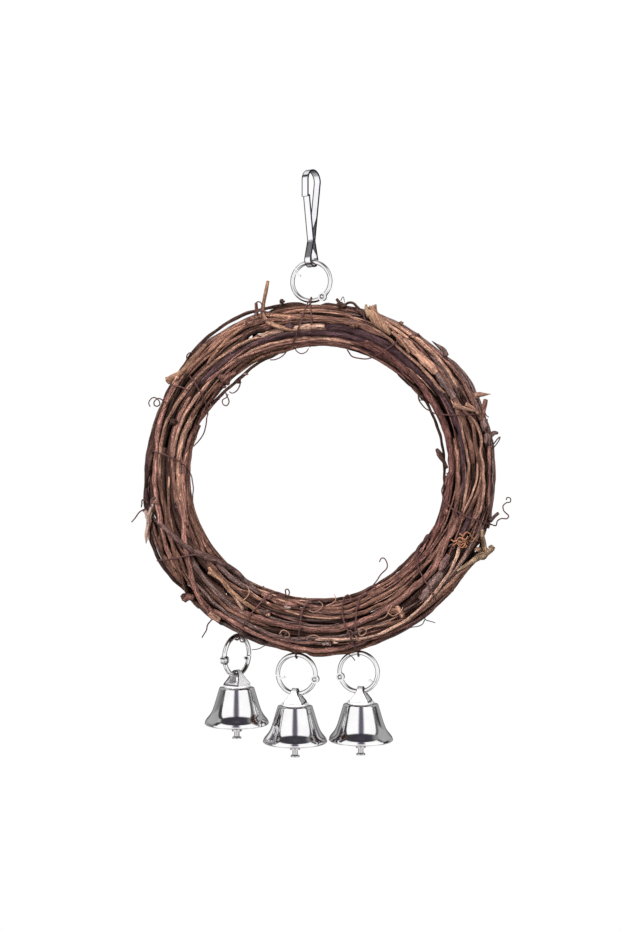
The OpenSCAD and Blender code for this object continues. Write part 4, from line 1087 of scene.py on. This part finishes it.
def curl_line(x, y, rx, ry):
    """A curl of thin tendril that closes in as it turns."""
    start, pixels = rng.uniform(0, 360), []
    for i in range(CURL_STEPS):
        w, close = math.radians(start + CURL_TURN * i), 1 - CURL_CLOSING * i
        pixels += [x + rx * close * math.cos(w), y + ry * close * math.sin(w)]
    return (*CURL_LINE, *pixels)


for name, piece in TENDRILS.items():
    thin_lines(name, *piece)
thin_lines("front_curls", "tendril", "", "v", [curl_line(*curl) for curl in CURLS])
for name, piece in BINDINGS.items():
    thin_lines(name, *piece)

# Hanger wires: width, and the pixels down the front of the bundle; at the top, where no front
# run shows, angles round the bundle. The loop goes square over the ring's wire, in loop radii
# sideways and beyond it, and the wire goes on up the back
HANGERS = {
    "top": (0.62, ()),
    "left": (0.8, (284, 598, 276, 592.5, 267, 596, 258, 606, 249, 616, 244, 624)),
    "centre": (0.7, (322, 600.5, 312, 600, 305, 605.5, 301, 617, 299, 633)),
    "right": (0.75, (348, 596, 343.5, 600, 342, 609, 343.5, 620, 348.5, 632, 352, 641)),
}
HANGER_LOOP = [(-1.15, -.15), (-.95, .45), (-.55, .9), (0, 1.08), (.55, .9), (.95, .45), (1.15, -.15)]
TOP_LEAD, REAR_RUN = (-95, -70, -45, -26), (26, 50, 80, 110, 140, 165)
# The wire's height over the bundle on the front, at the top and at the rear, how deep it lies
# beside the bundle, and its gap to the ring's wire
FRONT_RISE, TOP_RISE, REAR_RISE, LOOSE_DEPTH, LOOP_GAP = 1.0, 0.55, 0.5, -7.0, 0.16


def hanger(side, width, pixels):
    near, far, yaw, _, a = RINGS[side]
    wire = joint_place(near)
    beyond = UP * math.copysign(1, joint_place(far)[2] - wire[2])
    loop_r = WIRE_R + LOOP_GAP + width / 2
    across = flat_direction(yaw + 90)
    loop = [wire + (across * sideways + beyond * on) * loop_r for sideways, on in HANGER_LOOP]
    if pixels:
        lead = [from_pixel(x, y, FRONT_RISE, LOOSE_DEPTH) for x, y in zip(pixels[::2], pixels[1::2])]
    else:
        lead = [on_bundle(a, phi, TOP_RISE) for phi in TOP_LEAD]
    rear = [on_bundle(a + 1, phi, REAR_RISE) for phi in REAR_RUN]
    s = Strands()
    s.tube(smooth_path(lead + loop + rear, 0.4), width / 2, "s", sides=8)
    s.build(side + "_hanger_loop", "binding_wire", (side + "_hanger_wire",))


for side, (width, pixels) in HANGERS.items():
    hanger(side, width, pixels)
for name, piece in LOOSE_WIRES.items():
    thin_lines(name, *piece)

# ---------------------------------------------------------------------- metal
NICKEL = metal_material("ring_nickel", (0.82, 0.81, 0.81), 0.11, grain=0.003)
SPRING = metal_material("spring_steel", (0.88, 0.87, 0.91), 0.10, grain=0.004)
BELL = metal_material("bell_nickel", (0.87, 0.86, 0.87), 0.10, grain=0.0006, dents=6.0)
STRAP = metal_material("bell_strap", (0.90, 0.89, 0.90), 0.36, grain=0.004, metal=0.5)
CLAPPER = metal_material("clapper_steel", (0.62, 0.60, 0.60), 0.26, grain=0.01)


def metal_of(node):
    """The metal of a CAD node, or nothing for the wreath's nodes."""
    if node.startswith("hook_"):
        return SPRING
    if "_ring_" in node:
        return NICKEL
    if node.endswith("_clapper"):
        return CLAPPER
    if node.endswith(("_strap", "_disc")):
        return STRAP
    return BELL if "_bell_" in node else None


for node, ob in frame["nodes"].items():
    if metal_of(node):
        ob.data.materials.clear()
        ob.data.materials.append(metal_of(node))


def box_of(node):
    """The corners of a CAD node in millimetres."""
    lo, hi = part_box(node)
    return np.array(lo) / MM, np.array(hi) / MM


# Bells: a lathe round the axis of the CAD shell, with a smooth flank and a bead at the lip.
# The flank gives the share of the height below the crown and the radius over the crown's. Within
# DISC_R the crown is flat round its hole
MOUTH_R, CROWN_R, BELL_H, WALL = 14.8, 8.3, 17.4, 0.6
FLANK = [
    (0, .8), (.015, .9), (.045, .965), (.095, 1), (.2, 1.068), (.316, 1.14), (.45, 1.225), (.58, 1.315),
    (.67, 1.395), (.74, 1.48), (.8, 1.58), (.855, 1.675), (.905, 1.742), (.94, 1.768), (.97, 1.78),
]
BELL_TURNS, HOLE_R, DISC_R, FLANK_STEP = 96, 1.1, 2.0, 0.35
# The bead goes round from an angle by steps, and the inside follows the flank from INSIDE_R out
BEAD_STEPS, BEAD_R, BEAD_FROM, BEAD_TURN, INSIDE_R = 9, 0.62 * WALL, 80, -32, 0.8 * CROWN_R


def bell_shell(side):
    node = side + "_bell_shell"
    lo, hi = box_of(node)
    flank = smooth_path([(r * CROWN_R, -BELL_H * d, 0) for d, r in FLANK], FLANK_STEP)
    outside = [(q[0], q[1]) for q in flank]
    profile = [(HOLE_R, 0.0)] + [(r, h) for r, h in outside if r > DISC_R]
    for k in range(BEAD_STEPS):
        t = math.radians(BEAD_FROM + BEAD_TURN * k)
        profile.append((MOUTH_R - BEAD_R + BEAD_R * math.sin(t), -BELL_H + WALL / 2 * (1 + math.cos(t))))
    profile += [(r - WALL, min(h, -WALL)) for r, h in reversed(outside) if r > INSIDE_R]
    profile.append((HOLE_R, -WALL))
    crown = np.array([(lo[0] + hi[0]) / 2, (lo[1] + hi[1]) / 2, hi[2]])
    verts = lathe(profile, crown, UP, flat_direction(0), flat_direction(90), BELL_TURNS)
    faces = skin(len(profile), BELL_TURNS, inward=True, closed=True)
    add_piece(side + "_bell_lathe", verts, faces, BELL, side + "_bell", [node])


for side in BELLS:
    bell_shell(side)

# Rivets of the split rings: a pin with a rolled eyelet at each end, on the axis of the CAD rivet. The
# eyelet gives radius, height over the ring's face and painted shade, which darkens the groove round its
# dome
EYELET = [
    (1.3, 0, 0), (1.32, .14, 0), (1.27, .27, 0), (1.14, .34, 0), (1, .31, 0), (.93, .2, 1), (.86, .06, 1),
    (.74, .05, 1), (.62, .16, 0), (.42, .27, 0), (.2, .31, 0),
]
HEAD_T, PIN_R, TIP_R, EYELET_H, RIVET_TURNS = 0.35, 0.6, 0.001, 0.31, 32


def ring_rivet(side, yaw):
    node = side + "_ring_rivet"
    lo, hi = box_of(node)
    flat, face = flat_direction(yaw), flat_direction(yaw - 90)
    wide, _, deep = hi - lo
    half = (wide - deep * abs(flat[0])) / 2 / abs(flat[1]) - HEAD_T
    profile = [(TIP_R, half + EYELET_H, 0)] + [(r, half + h, d) for r, h, d in reversed(EYELET)]
    profile += [(PIN_R, half, 0), (PIN_R, -half, 0)] + [(r, -half - h, d) for r, h, d in EYELET]
    profile.append((TIP_R, -half - EYELET_H, 0))
    verts = lathe([(r, h) for r, h, _ in profile], (lo + hi) / 2, face, flat, UP, RIVET_TURNS)
    # The groove round each eyelet's dome is painted dark, as painted shade
    painted_shade = [float(d) for *_, d in profile for _ in range(RIVET_TURNS)]
    add_piece(side + "_rivet_eyelets", verts, skin(len(profile), RIVET_TURNS), NICKEL,
              side + "_ring", [node], painted_shade)


for side, ring in RINGS.items():
    ring_rivet(side, ring[2])

# Hook: a strip swept along its path with softly rounded edges, painted dark on its edges and over a width
# that differs from one side to the other, with a share of it painted nearly as dark: painted shade and dark
# reflections
HOOK_YAW, STRIP_W, STRIP_T = 55, 3.5, 0.8
EDGE_W, EDGE_T = 0.16, 0.10
PAINTED_DARK_W, DARK_SHARE, DARK = {1: 0.36, -1: 0.8}, 0.6, 0.85
ARC_STEPS = 40
BEND_R, TIP_DROP, WAIST_DROP, GATE_GAP = 4.9, 12.2, 32.0, 0.25
EYE_R, HOOK_DROP, EYE_OPEN, GATE_TUCK = 2.5, 44.1, 14.0, 1.0


def arc(cx, cz, r, a0, a1, n):
    angles = [math.radians(a0 + (a1 - a0) * k / n) for k in range(n + 1)]
    return [(cx + r * math.cos(a), cz + r * math.sin(a)) for a in angles]


def rounded_section(width, thick, dark_painted):
    """Places across a band and how dark each is painted, with softly rounded corners."""
    section = []
    for cx, cz, start in ((1, 1, 0), (-1, 1, 90), (-1, -1, 180), (1, -1, 270)):
        angles = [math.radians(start + 22.5 * k) for k in range(5)]
        corner = [(cx * (width / 2 - EDGE_W) + EDGE_W * math.cos(a),
                   cz * (thick / 2 - EDGE_T) + EDGE_T * math.sin(a), 1.0) for a in angles]
        face = [(cx * (width / 2 - dark_painted[cx] * DARK_SHARE), cz * thick / 2, DARK),
                (cx * (width / 2 - dark_painted[cx]), cz * thick / 2, 0.0)]
        section += corner + face if cx * cz > 0 else face[::-1] + corner
    return section


def band(path, widths, thick, origin, sideways, wide, dark_painted, closed=False, painted_shade_along=None):
    """A flat band swept along a path given sideways and up, from an origin."""
    p = np.array(path)
    t = unit((np.roll(p, -1, axis=0) - np.roll(p, 1, axis=0)) if closed else np.gradient(p, axis=0))
    verts, painted_shade = [], []
    for (x, z), (tx, tz), width, least in zip(p, t, widths, painted_shade_along or [0.0] * len(p)):
        centre = origin + sideways * x + UP * z
        normal = UP * tx - sideways * tz
        section = rounded_section(width, thick, dark_painted)
        for v, h, d in section:
            verts.append(centre + wide * v + normal * h)
            painted_shade.append(max(d, least))
    m, n = len(section), len(p)
    faces = skin(n, m, closed=closed)
    if not closed:
        faces += [tuple(range(m))[::-1], tuple(range((n - 1) * m, n * m))]
    return verts, faces, painted_shade


def evenly(path, step):
    """The same path with places at most about one step apart."""
    fine = []
    for (ax, az), (bx, bz) in zip(path, path[1:]):
        n = max(1, int(math.hypot(bx - ax, bz - az) / step))
        fine += [(ax + (bx - ax) * k / n, az + (bz - az) * k / n) for k in range(n)]
    return fine + [path[-1]]


def strip(path, node):
    """The hook's strip: path sideways and up in the hook's plane."""
    fine = evenly(path, 0.5)
    verts, faces, painted_shade = band(fine, [STRIP_W] * len(fine), STRIP_T, np.zeros(3), flat_direction(HOOK_YAW),
                              flat_direction(HOOK_YAW - 90), PAINTED_DARK_W)
    body = "hook" if node == "hook_strip" else node
    add_piece(node + "_sweep", verts, faces, SPRING, body, [node], painted_shade)


waist = (STRIP_T + GATE_GAP) / 2
eye_z = EYE_R + STRIP_T - HOOK_DROP
top_bend = arc(0, STRIP_T / 2 - BEND_R, BEND_R, 180, 0, ARC_STEPS)
foot_eye = arc(0, eye_z, EYE_R + STRIP_T / 2, EYE_OPEN, -180 - EYE_OPEN, ARC_STEPS)
strip([(-BEND_R, -TIP_DROP)] + top_bend + [(waist, -WAIST_DROP)] + foot_eye + [(-waist, -WAIST_DROP)],
      "hook_strip")
strip([(-waist, -WAIST_DROP + GATE_GAP), (GATE_GAP + STRIP_T - BEND_R, GATE_TUCK - TIP_DROP)], "hook_gate")

# Straps: a tent of flat sheet over the ring's wire, wide at the foot and narrow at the arch, with the
# arch's angles from and to, how far inside its corners the foot's run begins, and the widths of the edges
# painted dark outside and inside, as painted shade and dark reflections. The crest is painted darker, as
# painted shade, from a height just over the arch's centre up
STRAP_W, STRAP_BASE_W, STRAP_T, STRAP_FOOT = 3.4, 9.1, 0.6, 9.0
ARCH_R, ARCH_Z, FOOT_Z, ARCH_FROM, ARCH_TO = 1.85, 5.0, 0.5, 168, 12
FOOT_INSET, CREST_W = 0.4, 0.8 * STRAP_W
STRAP_PAINTED_DARK, CREST_SHADE, CREST_SHADE_Z = {1: 0.5, -1: 0.3}, 0.6, ARCH_Z + 0.2


def strap(side, yaw):
    node = side + "_bell_strap"
    lo, hi = box_of(node)
    origin = np.array([*(lo + hi)[:2] / 2, hi[2] - ARCH_Z - ARCH_R - STRAP_T])
    foot, low, crest = (STRAP_FOOT - STRAP_T) / 2, FOOT_Z + STRAP_T / 2, ARCH_Z + ARCH_R
    arch = arc(0, ARCH_Z, ARCH_R + STRAP_T / 2, ARCH_FROM, ARCH_TO, ARC_STEPS // 2)
    loop = evenly([(-foot, low)] + arch + [(foot, low)], 0.35)
    loop += evenly([(foot - FOOT_INSET, low), (FOOT_INSET - foot, low)], 0.5)
    heights = [z for _, z in loop]
    widths = np.interp(heights, [low, ARCH_Z, crest], [STRAP_BASE_W, STRAP_W, CREST_W])
    painted_shade_along = np.interp(heights, [CREST_SHADE_Z, crest], [0, CREST_SHADE]).tolist()
    verts, faces, painted_shade = band(loop, widths, STRAP_T, origin, flat_direction(yaw + 90), flat_direction(yaw),
                              STRAP_PAINTED_DARK, True, painted_shade_along)
    add_piece(side + "_strap_band", verts, faces, STRAP, side + "_bell", [node], painted_shade)


for side in BELLS:
    strap(side, RINGS[side][2])

# ----------------------------------------------------------------- the lights
# The studio as the metal sees it: brightness by bearing from the camera's side, in rows by
# height. A stop with a tint has that colour, and the others are grey
GREY, VIOLET = (1, 1, 1), (1, .93, 1.22)
LEVEL = [(-180, 1), (-170, 1), (-165, .1), (-156, .14), (-146, .42), (-122, .3), (-92, .12), (-84, .9),
         (-70, 1.2), (0, 1.15), (82, 1.2), (88, .03), (112, .03), (118, .3), (146, .42), (156, .14),
         (165, .1), (170, 1), (180, 1)]
ABOVE = [(-180, .12), (-160, .2), (-140, .48), (-98, .42), (-94, .05), (-76.6, .05), (-75.6, 1.15),
         (-19, 1.2), (-9, .14, VIOLET), (9, .14, VIOLET), (19, 1.2), (75, 1.15), (79, .1), (88, .12),
         (95, .44), (140, .42), (160, .16), (180, .12)]
BELOW = [(-180, .12), (-160, .2), (-140, .42), (-100, .45), (-80, 1.1), (-19, 1.2), (-9, .14, VIOLET),
         (9, .14, VIOLET), (19, 1.2), (80, 1.1), (100, .45), (140, .42), (160, .16), (180, .12)]
OVERHEAD = [(-180, .3), (-150, .8), (-108, .95), (-97, .9), (-88, .05), (-40, .05, VIOLET),
            (40, .05, VIOLET), (66, .06, VIOLET), (80, .25), (150, .5), (180, .3)]
ZENITH, FLOOR = 1.0, 0.3
# Light that the room itself gives to everything that isn't a mirror
ROOM_GREY, ROOM_STRENGTH = 0.80, 0.37

world = bpy.data.worlds.new("world")
scene.world = world
world.use_nodes = True
wt = world.node_tree
wt.nodes.clear()


def world_angle(operation, *sockets):
    """An angle of the view direction from a math node, as a share of its full range."""
    angle = add_node(wt, "ShaderNodeMath", dict(enumerate(sockets)), operation=operation).outputs[0]
    most = math.pi if operation == "ARCTAN2" else math.pi / 2
    ends = {"Value": angle, "From Min": -most, "From Max": most}
    return add_node(wt, "ShaderNodeMapRange", ends).outputs["Result"]


def world_ramp(fac, stops, most):
    """A ramp over an angle from -most to most degrees."""
    marks = [((at + most) / (2 * most), tuple(v * c for c in (tint[0] if tint else GREY)))
             for at, v, *tint in stops]
    return add_ramp(wt, fac, marks)


def mixed(fac, first, second, kind="ShaderNodeMix"):
    if kind == "ShaderNodeMixShader":
        return add_node(wt, kind, {0: fac, 1: first, 2: second}).outputs[0]
    return add_node(wt, kind, {0: fac, 6: first, 7: second}, data_type="RGBA").outputs[2]


def background(colour, strength=1.0):
    return add_node(wt, "ShaderNodeBackground", {"Color": colour, "Strength": strength}).outputs[0]


look = add_node(wt, "ShaderNodeTexCoord").outputs["Generated"]
xyz = add_node(wt, "ShaderNodeSeparateXYZ", {0: look}).outputs
ahead = add_node(wt, "ShaderNodeMath", {0: xyz["Y"], 1: -1}, operation="MULTIPLY").outputs[0]
bearing = world_angle("ARCTAN2", xyz["X"], ahead)
height = world_angle("ARCSINE", xyz["Z"])

# Each row replaces what is there where the ramp over the height is 1
seen = world_ramp(bearing, LEVEL, 180)
for row, stops in ((ABOVE, [(-90, 0), (11, 0), (15, 1), (90, 1)]),
                   (BELOW, [(-90, 1), (-12, 1), (-9.6, 0), (90, 0)]),
                   (OVERHEAD, [(-90, 0), (44, 0), (50, 1), (90, 1)])):
    seen = mixed(world_ramp(height, stops, 90), seen, world_ramp(bearing, row, 180))
for grey, stops in ((ZENITH, [(-90, 0), (70, 0), (80, 1), (90, 1)]),
                    (FLOOR, [(-90, 1), (-64, 1), (-56, 0), (90, 0)])):
    seen = mixed(world_ramp(height, stops, 90), seen, (grey, grey, grey, 1))

# The camera sees white, mirrors see the studio, and everything else is lit by the room
ray = add_node(wt, "ShaderNodeLightPath").outputs
room = background((ROOM_GREY, ROOM_GREY, ROOM_GREY, 1), ROOM_STRENGTH)
lit = mixed(ray["Is Glossy Ray"], room, background(seen), "ShaderNodeMixShader")
shown = mixed(ray["Is Camera Ray"], lit, background((1, 1, 1, 1)), "ShaderNodeMixShader")
add_node(wt, "ShaderNodeOutputWorld", {"Surface": shown})

# Softboxes: place, aim, size in metres and power
SOFTBOXES = {
    "left_box": ((-0.55, -0.6, 0.1), (0, 0, -0.15), (0.3, 0.7), 11.6),
    "right_box": ((0.5, -0.65, 0.05), (0, 0, -0.15), (0.3, 0.7), 5.0),
    "top_box": ((0.0, -0.35, 0.55), (0, 0, -0.13), (0.6, 0.4), 7.5),
}
for name, (where, aim, size, power) in SOFTBOXES.items():
    data = bpy.data.lights.new(name, "AREA")
    data.shape = "RECTANGLE"
    data.size, data.size_y = size
    data.energy = power
    ob = bpy.data.objects.new(name, data)
    scene.collection.objects.link(ob)
    ob.location = where
    ob.rotation_euler = (Vector(aim) - Vector(where)).to_track_quat("-Z", "Y").to_euler()
    ob.visible_glossy = False
